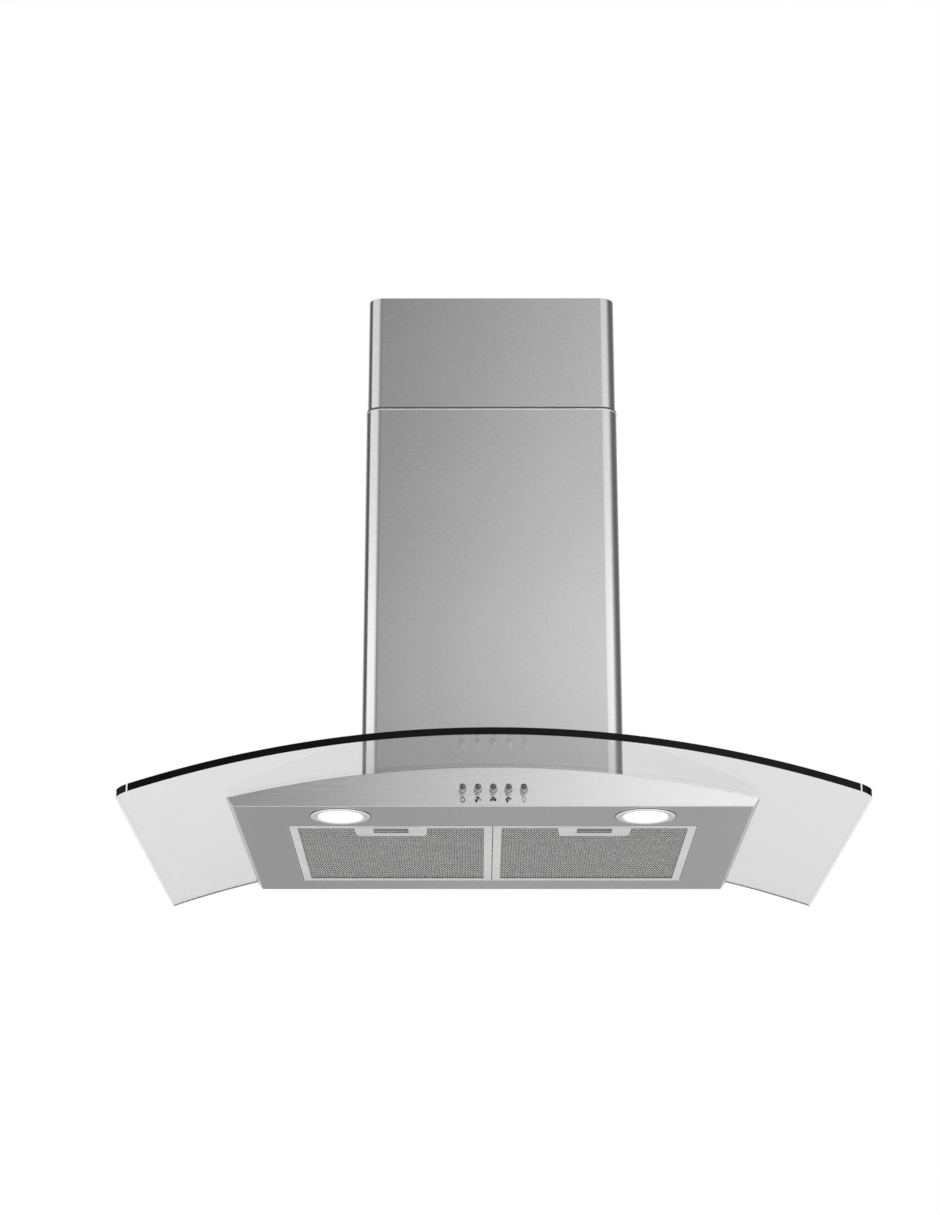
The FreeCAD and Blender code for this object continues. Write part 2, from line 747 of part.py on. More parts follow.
def cover_brackets():
    """Two bent brackets between the blower box and the sides of the lower cover."""
    strip = size("bracket_sheet")
    low = bracket_heights()[0] - size("bracket_height") / 4
    tall = bracket_heights()[1] - bracket_heights()[0] + size("bracket_height") / 2
    web_y = -(size("bracket_height") * 1.1)
    foot_y = -(size("bracket_height") * 2)
    ear_y = -(size("bracket_height") * 0.15)
    brackets = []
    for sign in (-1, 1):
        inner = box_half * sign
        outer = (cover_half - sheet - seam) * sign
        skin = strip * sign
        body = new_body("CoverBracket")
        sketch = sketch_on(body, "XY_Plane", low)
        draw_loop(sketch, [
            (inner, foot_y),
            (inner + skin, foot_y),
            (inner + skin, web_y - strip),
            (outer, web_y - strip),
            (outer, ear_y),
            (outer - skin, ear_y),
            (outer - skin, web_y),
            (inner, web_y),
        ])
        pad(body, sketch, tall)
        points = [point for side, point in cover_screw_points() if side == sign]
        brackets.append(cut(body, *[drill(point, "x") for point in points]))
    seat(group(brackets), "cover_brackets")
    screws = [screw(point, "x", sign) for sign, point in cover_screw_points()]
    seat(group(screws), "cover_screws")


def upper_screw_points():
    y = -(size("bracket_ear") * 0.65)
    z = size("upper_top") - size("bracket_drop")
    return [(sign, (upper_half * sign, y, z)) for sign in (-1, 1)]


def upper_cover():
    top = size("upper_top")
    corner = size("cover_corner") - sheet - size("cover_gap")
    tall = cover_sheet(upper_half, upper_depth, upper_rear, corner,
                       top - size("upper_length"), top)
    holes = [drill(point, "x") for sign, point in upper_screw_points()]
    seat(cut(tall, *holes), "upper_cover")


def upper_bracket():
    """Wall strip for the upper cover: its ends stand off the wall by one thickness, so
    that they pass in front of the lower cover's lips, and turn forward as two ears."""
    strip = size("bracket_sheet")
    middle = size("upper_top") - size("bracket_drop")
    low = middle - size("bracket_height") / 2
    high = middle + size("bracket_height") / 2
    ear = upper_half - sheet - seam
    pad_half = cover_half - size("cover_lip") - strip * 2
    plate = fuse(
        block((-pad_half, -strip, low), (pad_half, 0, high)),
        *[mirrored_block(sign, pad_half - strip * 4, ear, -strip * 2, -strip, low, high)
          for sign in (-1, 1)],
        *[mirrored_block(sign, ear - strip, ear, -size("bracket_ear"), -strip, low, high)
          for sign in (-1, 1)],
    )
    tools = [drill(point, "x") for sign, point in upper_screw_points()]
    for sign in (-1, 1):
        centre = size("bracket_slot_pitch") / 2 * sign
        straight = size("slot_length") / 2 - size("slot_radius")
        ends = [
            rod((centre + straight * end, -strip * 3, middle), size("slot_radius"),
                strip * 4, "y")
            for end in (-1, 1)
        ]
        middle_part = block((centre - straight, -strip * 3, middle - size("slot_radius")),
                            (centre + straight, strip, middle + size("slot_radius")))
        tools.append(fuse(middle_part, *ends))
    seat(cut(plate, *tools), "upper_bracket")
    screws = [screw(point, "x", sign) for sign, point in upper_screw_points()]
    seat(group(screws), "upper_screws")


# ---- Blower box ----

def outlet_radius():
    return size("collar_radius") - size("collar_wall")


def blower_box():
    outer = block((-box_half, -box_depth, tray_height), (box_half, 0, box_top))
    inner = block((sheet - box_half, sheet - box_depth, 0),
                  (box_half - sheet, -sheet, box_top - sheet))
    flange = box_half + size("box_flange")
    foot = block((-flange, -box_depth - size("box_flange"), tray_height),
                 (flange, -size("tray_back") * 1.5, tray_height + sheet))
    tools = [inner, rod((0, collar_y, box_top - sheet * 2), outlet_radius(), sheet * 3)]
    for x in (-size("hole_pitch_x") / 2, size("hole_pitch_x") / 2):
        for z in (-size("hole_pitch_z") / 2, size("hole_pitch_z") / 2):
            tools.append(rod((x, -sheet * 2, size("fixing_height") + z),
                             size("hole_radius"), sheet * 3, "y"))
    seat(cut(fuse(outer, foot), *tools), "blower_box")


def scroll_loop(wall, top):
    """Spiral of the scroll from three arcs, with its outlet, drawn out by the wall."""
    step = scroll_step
    radius = scroll_radius + wall
    tongue_y = wheel_y + step / 2 + wall
    low_z = wheel_z - step / 2
    front_centre = wheel_y - step / 2
    tongue_z = low_z + root(radius * radius - as_size(wall) * wall)
    return [
        (tongue_y, top),
        (tongue_y, tongue_z, -radius),
        (wheel_y + step / 2 + radius, low_z, -(radius + step)),
        (front_centre, low_z - radius - step, -(radius + step * 2)),
        (front_centre - radius - step * 2, wheel_z + step / 2),
        (front_centre - radius - step * 2, top),
    ]


def scroll_housing():
    """Scroll, open at the top and round the inlet in each side."""
    wall = scroll_wall
    body = new_body("Scroll")
    sketch = sketch_on(body, "YZ_Plane")
    draw_loop(sketch, scroll_loop(wall, size("scroll_top")))
    pad(body, sketch, (size("scroll_half") + wall) * 2, "Symmetric")
    hollow = sketch_on(body, "YZ_Plane")
    draw_loop(hollow, scroll_loop(0, size("scroll_top") + wall * 10))
    pocket(body, hollow, size("scroll_half") * 2, "Symmetric")
    inlets = sketch_on(body, "YZ_Plane")
    hole = inlet_radius + size("inlet_depth") / 2 + wall
    draw_circle(inlets, wheel_y, wheel_z, hole)
    pocket(body, inlets)
    seat(body, "scroll_housing")


def inlet_rings():
    """Bellmouth at each side of the scroll, turned from one profile."""
    wall = scroll_wall
    face = size("scroll_half") + wall
    throat = inlet_radius
    deep = size("inlet_depth")
    rings = []
    for sign in (-1, 1):
        body = new_body("InletRing")
        sketch = sketch_on(body, "XY_Plane")
        draw_loop(sketch, [
            (face * sign, inlet_rim),
            (face * sign, throat + wall + deep / 2),
            ((face - deep) * sign, throat),
            ((face + wall) * sign, throat + deep / 2),
            ((face + wall) * sign, inlet_rim),
        ])
        revolve(body, sketch, "H_Axis")
        rings.append(body)
    seat(group(rings), "inlet_rings", y=wheel_y, z=wheel_z)


def fan_wheel():
    """Double-inlet fan wheel: forward-curved blades between two end rings, carried by a
    web on one hub."""
    ring_outer = wheel_radius
    ring_inner = wheel_inner
    half = size("wheel_half")
    root_y = ring_inner + size("blade_thickness")
    tip_y = ring_outer - size("blade_thickness") * 1.4
    thick = size("blade_thickness")
    blades = new_body("Blades")
    sketch = sketch_on(blades, "YZ_Plane")
    knee_y = root_y + (tip_y - root_y) * 0.6
    knee_z = size("blade_rise") * 0.3
    draw_loop(sketch, [
        (root_y, -thick),
        (knee_y + thick / 3, knee_z - thick),
        (tip_y, size("blade_rise")),
        (knee_y - thick / 3, knee_z),
        (root_y, 0),
    ])
    first = pad(blades, sketch, half * 2 - size("ring_width"), "Symmetric")
    pattern = blades.newObject("PartDesign::PolarPattern", "BladeRing")
    pattern.Originals = [first]
    pattern.Axis = (blades.Origin.OriginFeatures[0], [""])
    bind(pattern, "Occurrences", size("blade_count"))
    pattern.Angle = 360
    blades.Tip = pattern
    wheel = new_body("Wheel")
    outline = sketch_on(wheel, "XY_Plane")
    for low, high in ((-half, size("ring_width") - half), (half - size("ring_width"), half)):
        draw_box(outline, low, ring_inner, high, ring_outer)
    web = size("web_x")
    draw_loop(outline, [
        (web, size("shaft_radius") + running_gap / 2),
        (size("hub_end"), size("shaft_radius") + running_gap / 2),
        (size("hub_end"), size("hub_radius")),
        (web + size("web_thickness"), size("hub_radius")),
        (web + size("web_thickness"), root_y + thick),
        (web, root_y + thick),
    ])
    revolve(wheel, outline, "H_Axis")
    seat(fuse(blades, wheel), "fan_wheel", y=wheel_y, z=wheel_z)


def motor():
    """Motor can inside the wheel, its shaft, and the three-armed bracket on the scroll."""
    rear = -(size("scroll_half") + scroll_wall * 2)
    front = size("motor_front")
    body = new_body("MotorCan")
    sketch = sketch_on(body, "XY_Plane")
    bore = size("shaft_radius") + running_gap
    draw_loop(sketch, [
        (rear, 0),
        (rear, motor_radius),
        (front, motor_radius),
        (front, bore),
        (size("shaft_start") - fit_gap, bore),
        (size("shaft_start") - fit_gap, 0),
    ])
    revolve(body, sketch, "H_Axis")
    seat(body, "motor", y=wheel_y, z=wheel_z)

    shaft = rod((size("shaft_start"), 0, 0), size("shaft_radius"),
                size("shaft_end") - size("shaft_start"), "x")
    seat(group([shaft]), "motor_shaft", y=wheel_y, z=wheel_z)

    strip = size("spider_sheet")
    spider_reach = inlet_rim + size("spider_margin")
    plate_x = rear - strip
    foot = scroll_wall
    shapes = [rod((plate_x, 0, 0), motor_radius * 0.7, strip, "x")]
    for index in range(3):
        angle = 90 + 120 * index
        arm = block((plate_x, -foot * 5, 0), (rear, foot * 5, spider_reach + foot * 5))
        turn_about_x(arm, angle - 90, foot * 5, plate_x)
        shapes.append(arm)
        heel = block((rear, -foot * 5, 0), (rear + foot, foot * 5, foot * 6))
        turn_about_x(heel, angle - 90, foot * 5, rear, spider_reach - foot)
        shapes.append(heel)
    seat(fuse(*shapes), "motor_bracket", y=wheel_y, z=wheel_z)


def turn_about_x(arm, degrees, half_width, x, start=0):
    """Turn an arm that stands on the axis, or starts some way out, about the axis."""
    angle = math.radians(degrees)
    arm.Placement = FreeCAD.Placement(vector(0, 0, 0), FreeCAD.Rotation(vector(1, 0, 0), degrees))
    bind(arm, "Placement.Base.x", x)
    bind(arm, "Placement.Base.y", half_width * -math.cos(angle) - start * math.sin(angle))
    bind(arm, "Placement.Base.z", half_width * -math.sin(angle) + start * math.cos(angle))


def outlet_duct():
    """Hopper from the scroll's outlet to a round hole under the collar."""
    front = wheel_y - scroll_step * 2.5 - scroll_radius
    rear = wheel_y + scroll_step / 2
    top = box_top - sheet - seam
    reach = outlet_radius()
    body = new_body("OutletDuct")
    for grow, kind in ((scroll_wall, "PartDesign::AdditiveLoft"),
                       (as_size(0), "PartDesign::SubtractiveLoft")):
        half_x = size("scroll_half") + grow
        lower = sketch_on(body, "XY_Plane", size("scroll_top"))
        draw_box(lower, -half_x, front - grow, half_x, rear + grow)
        upper = sketch_on(body, "XY_Plane", top + grow - scroll_wall)
        draw_box(upper, -reach - grow, collar_y - reach - grow, reach + grow, collar_y + reach + grow)
        loft = body.newObject(kind, "Loft")
        loft.Profile = lower
        loft.Sections = [upper]
        loft.Ruled = True
        body.Tip = loft
    hole = sketch_on(body, "XY_Plane", top)
    draw_circle(hole, 0, collar_y, reach - scroll_wall)
    pocket(body, hole, scroll_wall * 2)
    seat(body, "outlet_duct")


def outlet_collar():
    """Flanged collar with two small stops that the damper flaps rest on."""
    radius = size("collar_radius")
    bore = outlet_radius()
    pin_z = size("flap_height")
    seat_z = pin_z - size("flap_thickness") - fit_gap * 1.5
    body = new_body("Collar")
    sketch = sketch_on(body, "XZ_Plane")
    flange_top = size("collar_wall") * 1.25
    rest = bore - size("collar_wall") * 2
    draw_loop(sketch, [
        (bore, 0),
        (size("collar_flange"), 0),
        (size("collar_flange"), flange_top),
        (radius, flange_top),
        (radius, size("collar_height")),
        (bore, size("collar_height")),
    ])
    revolve(body, sketch, "V_Axis")
    stops = [
        mirrored_block(sign, rest, bore + size("collar_wall") / 2, -rest / 10, rest / 10,
                       seat_z - size("collar_wall") * 2, seat_z)
        for sign in (-1, 1)
    ]
    pin_hole = prism((0, -radius * 1.2, pin_z), size("pin_radius") * 2 / root(3) + seam,
                     radius * 2.4, "y")
    seat(cut(fuse(body, *stops), pin_hole), "outlet_collar", y=collar_y, z=box_top)


def damper():
    """Two half-round flaps on one pin: the right flap's wide knuckle runs between the left
    flap's two."""
    bore = outlet_radius()
    length = size("collar_radius") * 2
    pin = rod((0, -length / 2, 0), size("pin_radius"), length, "y")
    seat(group([pin]), "damper_pin", y=collar_y, z=box_top + size("flap_height"))
    pin_hole = size("pin_radius") + running_gap
    knuckle = size("knuckle_radius")
    flap_radius = bore - fit_gap * 5
    spans = {"left": ((-0.8, -0.45), (0.45, 0.8)), "right": ((-0.42, 0.42),)}
    for name, sign in (("left", -1), ("right", 1)):
        disc = rod((0, 0, -size("flap_thickness")), flap_radius, size("flap_thickness"))
        edge = knuckle + fit_gap * 3
        far = size("collar_flange")
        half = mirrored_block(sign, edge, far, -far, far, -knuckle * 2, knuckle * 2)
        shapes = [common(disc, half)]
        for start, end in spans[name]:
            shapes.append(prism((0, bore * start, 0), knuckle, bore * (end - start), "y"))
            shapes.append(mirrored_block(sign, 0, edge + fit_gap * 5, bore * start,
                                         bore * end, -size("flap_thickness"), 0))
        bored = cut(fuse(*shapes), rod((0, -far, 0), pin_hole, far * 2, "y"))
        seat(bored, "damper_flap_" + name, y=collar_y, z=box_top + size("flap_height"))


# ---- Electrical parts ----

def junction_box():
    """Moulded box on the front of the blower box, with its lid and terminal strip."""
    half = size("junction_half")
    wall = size("moulding")
    front = -(box_depth + size("junction_depth"))
    low = junction_low
    high = low + size("junction_height")
    lid_y = front + wall
    outer = block((-half, lid_y, low), (half, -box_depth, high))
    inner = block((wall - half, lid_y - wall, low + wall),
                  (half - wall, -(box_depth + wall), high - wall))
    neck = rod((half / 2, gland_y(), high - wall * 2), size("gland_neck") + fit_gap, wall * 4)
    room = size("harness_radius") + fit_gap
    cable = block((size("harness_x") - room, harness_y() - room, low - wall),
                  (size("harness_x") + room, harness_y() + room, low + wall * 2))
    seat(cut(outer, inner, neck, cable), "junction_box")

    gap = wall + fit_gap
    lid = block((-half, front, low), (half, lid_y, high))
    plug = block((gap - half, lid_y, low + gap), (half - gap, lid_y + wall, high - gap))
    hollow = block((gap + wall - half, lid_y, low + gap + wall),
                   (half - gap - wall, lid_y + wall * 2, high - gap - wall))
    seat(fuse(lid, cut(plug, hollow)), "junction_lid")

    pitch = size("terminal_pitch")
    pit = size("terminal_pit")
    rear = -(box_depth + wall)
    face = rear - size("terminal_depth")
    strip_low = low + size("junction_height") * 0.3
    strip_half = pitch * size("terminal_count") / 2
    strip = block((-strip_half, face, strip_low),
                  (strip_half, rear, strip_low + size("terminal_height")))
    pits = []
    for index in range(int(number(size("terminal_count")))):
        x = pitch * (index + 0.5) - strip_half - pit / 2
        z = strip_low + size("terminal_height") / 2 - pit / 2
        pits.append(block((x, face - pit, z), (x + pit, face + pit, z + pit)))
    seat(cut(strip, *pits), "terminal_block")


def gland_y():
    return -(box_depth + size("junction_depth") * 0.45)


def cable_gland():
    """Cord inlet in the top of the junction box: a hexagonal body on a round neck."""
    x = size("junction_half") / 2
    base = junction_low + size("junction_height")
    deep = size("moulding") * 2.5
    neck = rod((x, gland_y(), base - deep), size("gland_neck"), deep * 2)
    body = prism((x, gland_y(), base), size("gland_nut"), size("gland_height"))
    bore = rod((x, gland_y(), base - deep * 2), size("cord_bore"),
               size("gland_height") + deep * 4)
    seat(cut(fuse(body, neck), bore), "cable_gland")


def harness_y():
    """Depth of the harness where it rises between the blower box and the glass."""
    return -(box_depth + size("box_flange") + notch_depth) / 2 + seam * 5


def wire_harness():
    """Sleeved cable from the switch block over the tray and up to the junction box."""
    x = size("harness_x")
    bend = size("harness_bend")
    radius = size("harness_radius")
    level = size("harness_height")
    start_y = fascia_y + size("switch_far") + sheet
    turn_y = harness_y() - bend
    end = junction_low + size("moulding")
    corner = new_body("HarnessBend")
    sketch = sketch_on(corner, "XZ_Plane")
    ring = [math.radians(60 * index) for index in range(6)]
    draw_loop(sketch, [(radius * math.cos(angle), radius * math.sin(angle) - bend)
                       for angle in ring])
    revolve(corner, sketch, "H_Axis", 90)
    bind(corner, "Placement.Base.x", x)
    bind(corner, "Placement.Base.y", turn_y)
    bind(corner, "Placement.Base.z", level + bend)
    seat(fuse(
        corner,
        prism((x, start_y, level), radius, turn_y - start_y, "y"),
        prism((x, harness_y(), level + bend), radius, end - level - bend),
    ), "wire_harness")


def lamp_driver():
    near_x = size("driver_x")
    back_y = size("driver_y")
    case = block((near_x, back_y - size("driver_depth"), sheet),
                 (near_x + size("driver_length"), back_y, sheet + size("driver_height")))
    seat(group([case]), "lamp_driver")


# ---- Controls, in a frame square to the fascia: y = 0 is its outer face ----

def seat_control(thing, label, x=0):
    seat(thing, label, x=x, y=fascia_y, z=button_height, tilt=lean_angle)


def button_bezels():
    rings = []
    bore = size("button_radius") + running_gap
    for index in range(5):
        x = size("button_pitch") * (index - 2)
        body = new_body("Bezel")
        sketch = sketch_on(body, "XY_Plane")
        rim = size("bezel_radius")
        proud = -size("bezel_proud")
        draw_loop(sketch, [
            (bore, proud),
            (rim, proud),
            (rim, -seam / 2),
            (bore, -seam / 2),
        ])
        revolve(body, sketch, "V_Axis")
        bind(body, "Placement.Base.x", x)
        rings.append(body)
    seat_control(group(rings), "button_bezels")


def button(index, label):
    """Push button: a turned cap with a domed end and a stem that runs into the block."""
    cap = size("button_radius")
    tip = -size("button_reach")
    shoulder = size("switch_near") * 0.2
    body = new_body("Button")
    sketch = sketch_on(body, "XY_Plane")
    draw_loop(sketch, [
        (0, tip - cap * 0.2),
        (cap, tip + cap * 0.2),
        (cap, shoulder),
        (0, shoulder),
    ])
    revolve(body, sketch, "V_Axis")
    square = sketch_on(body, "XZ_Plane", -shoulder)
    draw_box(square, -size("stem_half"), -size("stem_half"), size("stem_half"), size("stem_half"))
    pad(body, square, size("switch_near") * 2.4, back=True)
    seat_control(body, label, x=size("button_pitch") * (index - 2))


def switch_block():
    near = size("switch_near")
    far = size("switch_far")
    half = size("switch_half")
    tall = size("switch_low")
    wall = sheet * 2
    outer = block((-half, near, -tall), (half, far, tall))
    inner = block((wall - half, near + wall, wall - tall), (half - wall, far - wall, tall - wall))
    stem = size("stem_half") + running_gap
    holes = []
    for index in range(5):
        x = size("button_pitch") * (index - 2)
        holes.append(block((x - stem, near - wall, -stem), (x + stem, near + wall * 2, stem)))
    level = size("harness_height") - button_height
    room = size("harness_radius") + fit_gap * 4
    holes.append(block((size("harness_x") - room, far - wall * 2, level - room),
                       (size("harness_x") + room, far + wall, level + room)))
    seat_control(cut(outer, inner, *holes), "switch_block")


def switch_bracket():
    """Channel on the canopy floor; its two ears hold the switch block's ends."""
    strip = sheet
    half = size("switch_half") + fit_gap / 2
    front = fascia_y + size("switch_near") * 1.4
    back = fascia_y + size("switch_far") - size("switch_near")
    floor = block((-half - strip, front, sheet), (half + strip, back, sheet + strip))
    ears = [
        mirrored_block(sign, half, half + strip, front, back, sheet,
                       button_height + size("switch_low") * 0.8)
        for sign in (-1, 1)
    ]
    seat(fuse(floor, *ears), "switch_bracket")


# ---- Lamps ----

def lamp_pair(label, section):
    """The left and right lamp's copies of one turned piece."""
    copies = []
    for x in (-size("lamp_x"), size("lamp_x")):
        body = new_body("Lamp")
        sketch = sketch_on(body, "XZ_Plane")
        draw_loop(sketch, section)
        revolve(body, sketch, "V_Axis")
        bind(body, "Placement.Base.x", x)
        copies.append(body)
    seat(group(copies), label, y=size("lamp_y"))


def lamps():
    rim = size("lamp_rim")
    lens = size("lamp_lens")
    proud = size("lamp_proud")
    body_radius = size("lamp_body")
    top = size("lamp_height")
    lamp_pair("lamp_bezels", [
        (lens + fit_gap, -seam / 2),
        (lens + fit_gap, -proud),
        (rim - proud, -proud),
        (rim, -seam / 2),
    ])
    lamp_pair("lamp_lenses", [
        (0, -proud * 0.5),
        (lens, -proud * 0.5),
        (lens, 0),
        (0, 0),
    ])
    lamp_pair("lamp_housings", [
        (0, 0),
        (body_radius, 0),
        (body_radius, top * 0.4),
        (0, top),
    ])


# ---- Filters, each in a frame at the middle of its front edge, y towards the wall ----

def seat_filter(thing, label, side):
    seat(thing, label, x=filter_middle * side, y=filter_front)


def latch_room():
    """Outside of the latch's little housing: half width, back and height."""
    width = size("slot_half") + sheet * 5
    return width, size("slot_back") + sheet * 3, size("tongue_high") + sheet * 1.5


def filter_frame(name, side):
    half = filter_width / 2
    rim = size("filter_rim")
    outer = block((-half, 0, 0), (half, filter_depth, filter_height))
    channel = block((sheet - half, sheet, sheet),
                    (half - sheet, filter_depth - sheet, filter_height - sheet))
    window = block((rim - half, rim, -sheet), (half - rim, filter_depth - rim, filter_height * 2))
    slot = block((-size("tongue_half") - fit_gap * 2, -sheet, size("tongue_low") - fit_gap * 2),
                 (size("tongue_half") + fit_gap * 2, sheet * 2, size("tongue_high") + fit_gap * 2))
    tabs = []
    for place in (-1, 1):
        middle = size("tab_offset") * place
        tabs.append(block((middle - size("tab_width") / 2, filter_depth - sheet / 2,
                           size("tongue_low")),
                          (middle + size("tab_width") / 2, filter_depth + size("tab_reach"),
                           size("tongue_low") + sheet)))
    seat_filter(fuse(cut(outer, channel, window, slot), *tabs), "filter_frame_" + name, side)


def filter_mesh(name, side):
    """Crimped mesh pack: a zigzag sheet whose edges lie in the frame's channel."""
    half = filter_width / 2 - sheet - fit_gap
    front = sheet + fit_gap
    back = filter_depth - sheet - fit_gap
    low = sheet + fit_gap
    high = filter_height - sheet - fit_gap
    crimp = size("mesh_crimp")
    count = int(number(size("mesh_pleats")))
    step = (back - front) / (count * 2)
    profile = []
    for base in (low, high - crimp):
        line = []
        for index in range(count * 2 + 1):
            lift = crimp if index % 2 else as_size(0)
            line.append(vector(number(-half), number(front + step * index), number(base + lift)))
        profile += line if base is low else line[::-1]
    wire = Part.makePolygon(profile + profile[:1])
    pack = document.addObject("Part::Feature", "MeshPack")
    pack.Shape = Part.Face(wire).extrude(vector(number(half * 2), 0, 0))
    room, room_back, room_top = latch_room()
    latch = block((-room - fit_gap, 0, 0), (room + fit_gap, room_back + fit_gap, filter_height))
    seat_filter(cut(pack, latch), "filter_mesh_" + name, side)


def latch_plate(name, side):
    """Stamped plate below the rim with a finger slot, and the housing behind it."""
    front = sheet * 3
    back = size("latch_back")
    half = size("latch_half")
    corner = size("latch_round")
    taper = size("latch_taper")
    body = new_body("LatchPlate")
    sketch = sketch_on(body, "XY_Plane")
    draw_loop(sketch, [
        (-half, front),
        (half, front),
        (half - taper, back - corner, corner),
        (half - taper - corner, back),
        (corner + taper - half, back, corner),
        (taper - half, back - corner),
    ])
    draw_box(sketch, -size("slot_half"), size("slot_front"), size("slot_half"), size("slot_back"))
    pad(body, sketch, size("latch_sheet"), back=True)
    room, room_back, room_top = latch_room()
    walls = cut(
        block((-room, size("filter_rim") + fit_gap, 0), (room, room_back, room_top)),
        block((sheet - room, 0, -sheet), (room - sheet, room_back - sheet, room_top - sheet)),
    )
    seat_filter(fuse(body, walls), "latch_plate_" + name, side)


def latch_slide(name, side):
    """Slide with its tongue at the front edge and the finger bar in the slot."""
    low = fit_gap / 2
    bar_front = size("grip_front")
    bar_back = bar_front + size("grip_depth")
    plate_half = size("slot_half") + sheet * 2
    plate = block((-plate_half, bar_front - sheet * 4, low),
                  (plate_half, bar_back + sheet * 2, sheet * 2.5))
    bar = block((sheet - size("slot_half"), bar_front, -size("latch_sheet")),
                (size("slot_half") - sheet, bar_back, sheet * 2))
    window = block((sheet - size("slot_half"), bar_front - sheet * 4, -sheet),
                   (size("slot_half") - sheet, bar_front, sheet * 1.4))
    tongue = block((-size("tongue_half"), 0, size("tongue_low")),
                   (size("tongue_half"), bar_back, size("tongue_high")))
    seat_filter(fuse(cut(plate, window), bar, tongue), "latch_slide_" + name, side)


# ---- Assembly ----

canopy_shell()
canopy_top()
plenum_tray()
mounting_tape()
glass_canopy()
glass_clips()
lower_cover()
cover_brackets()
upper_cover()
upper_bracket()
blower_box()
scroll_housing()
inlet_rings()
fan_wheel()
motor()
outlet_duct()
outlet_collar()
damper()
junction_box()
cable_gland()
wire_harness()
lamp_driver()
button_bezels()
for place, function in enumerate(("off", "low", "medium", "high", "lamp")):
    button(place, "button_" + function)
switch_block()
switch_bracket()
lamps()
for filter_name, filter_side in (("left", -1), ("right", 1)):
    filter_frame(filter_name, filter_side)
    filter_mesh(filter_name, filter_side)
    latch_plate(filter_name, filter_side)
    latch_slide(filter_name, filter_side)
document.recompute()

failed = [
    thing.Label for thing in document.Objects
    if "Invalid" in thing.State or "Error" in thing.State
]
if failed:
    raise RuntimeError("not built: " + ", ".join(failed))
for label, thing in pieces.items():
    if thing.Shape.isNull() or not thing.Shape.isValid() or not thing.Shape.Solids:
        raise RuntimeError("bad shape: " + label)

os.makedirs("parts", exist_ok=True)
for label, thing in pieces.items():
    thing.Shape.exportStep("parts/%s.step" % label)
print("pieces", len(pieces))
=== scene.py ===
import bmesh
import bpy
import math
from mathutils import Euler, Matrix, Vector


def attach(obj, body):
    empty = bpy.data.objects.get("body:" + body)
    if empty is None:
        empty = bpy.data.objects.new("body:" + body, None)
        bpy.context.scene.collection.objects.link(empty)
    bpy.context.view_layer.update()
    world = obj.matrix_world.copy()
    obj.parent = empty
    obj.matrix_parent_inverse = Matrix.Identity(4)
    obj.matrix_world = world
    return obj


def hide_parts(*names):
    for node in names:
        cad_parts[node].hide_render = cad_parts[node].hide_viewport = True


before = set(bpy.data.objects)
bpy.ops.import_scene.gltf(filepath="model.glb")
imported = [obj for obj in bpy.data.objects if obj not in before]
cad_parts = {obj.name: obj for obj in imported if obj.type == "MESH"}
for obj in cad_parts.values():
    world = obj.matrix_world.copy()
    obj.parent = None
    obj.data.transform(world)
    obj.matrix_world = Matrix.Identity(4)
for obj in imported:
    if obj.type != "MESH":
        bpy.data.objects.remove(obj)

for leftover in ("Cube", "Light", "Camera"):  # Blender's own start-up objects
    if leftover in bpy.data.objects:
        bpy.data.objects.remove(bpy.data.objects[leftover])
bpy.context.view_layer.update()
scene = bpy.context.scene
scene.view_settings.view_transform = "Standard"
millimetre = 0.001


# Camera, lights, floor and surroundings

cameraLook = {
    "place": (-0.01514, -2.89203, -0.85333),
    "pitchUp": 19.198,
    "turnLeft": 0.207,
    "roll": 0.049,
    "lens": 73.922,
    "filmHeight": 36.0,
    "farthest": 100,
}


def makeCamera():
    look = bpy.data.cameras.new("photoCamera")
    look.sensor_fit = "VERTICAL"
    look.sensor_height = cameraLook["filmHeight"]
    look.lens = cameraLook["lens"]
    look.clip_end = cameraLook["farthest"]
    camera = bpy.data.objects.new("photoCamera", look)
    turn = Matrix.Rotation(math.radians(cameraLook["turnLeft"]), 4, "Z")
    lift = Matrix.Rotation(math.radians(90 + cameraLook["pitchUp"]), 4, "X")
    roll = Matrix.Rotation(math.radians(cameraLook["roll"]), 4, "Z")
    camera.matrix_world = Matrix.Translation(cameraLook["place"]) @ turn @ lift @ roll
    scene.collection.objects.link(camera)
    scene.camera = camera


lampLook = {
    "aim": (0.0, -0.25, -0.05),
    "shownInMetal": "topSoftbox",  # polished metal shows this one and the surroundings below
    # name: place, width, height, watts
    "softboxes": {
        "rightSoftbox": ((1.72, -2.65, 0.5), 1.2, 2.2, 40.0),
        "leftSoftbox": ((-2.60, -1.45, 0.6), 2.0, 2.2, 46.0),
        "topSoftbox": ((0.28, 0.10, 2.4), 0.8, 1.4, 26.0),
        "rearSoftbox": ((-0.8, 2.2, 1.0), 1.8, 1.8, 30.0),
    },
}


def makeLamps():
    aim = Vector(lampLook["aim"])
    for name, (place, width, height, watts) in lampLook["softboxes"].items():
        lamp = bpy.data.lights.new(name, "AREA")
        lamp.shape = "RECTANGLE"
        lamp.size = width
        lamp.size_y = height
        lamp.energy = watts
        holder = bpy.data.objects.new(name, lamp)
        holder.location = place
        holder.rotation_euler = (aim - Vector(place)).to_track_quat("-Z", "Y").to_euler()
        holder.visible_transmission = False  # the glass shows the white background, not the lamp
        holder.visible_glossy = name == lampLook["shownInMetal"]
        scene.collection.objects.link(holder)


def addNode(tree, kind, feeds=None, **settings):
    made = tree.nodes.new(kind)
    for key, value in settings.items():
        setattr(made, key, value)
    for key, value in (feeds or {}).items():
        socket = made.inputs[key]
        if isinstance(value, bpy.types.NodeSocket):
            tree.links.new(value, socket)
        else:
            socket.default_value = value
    return made


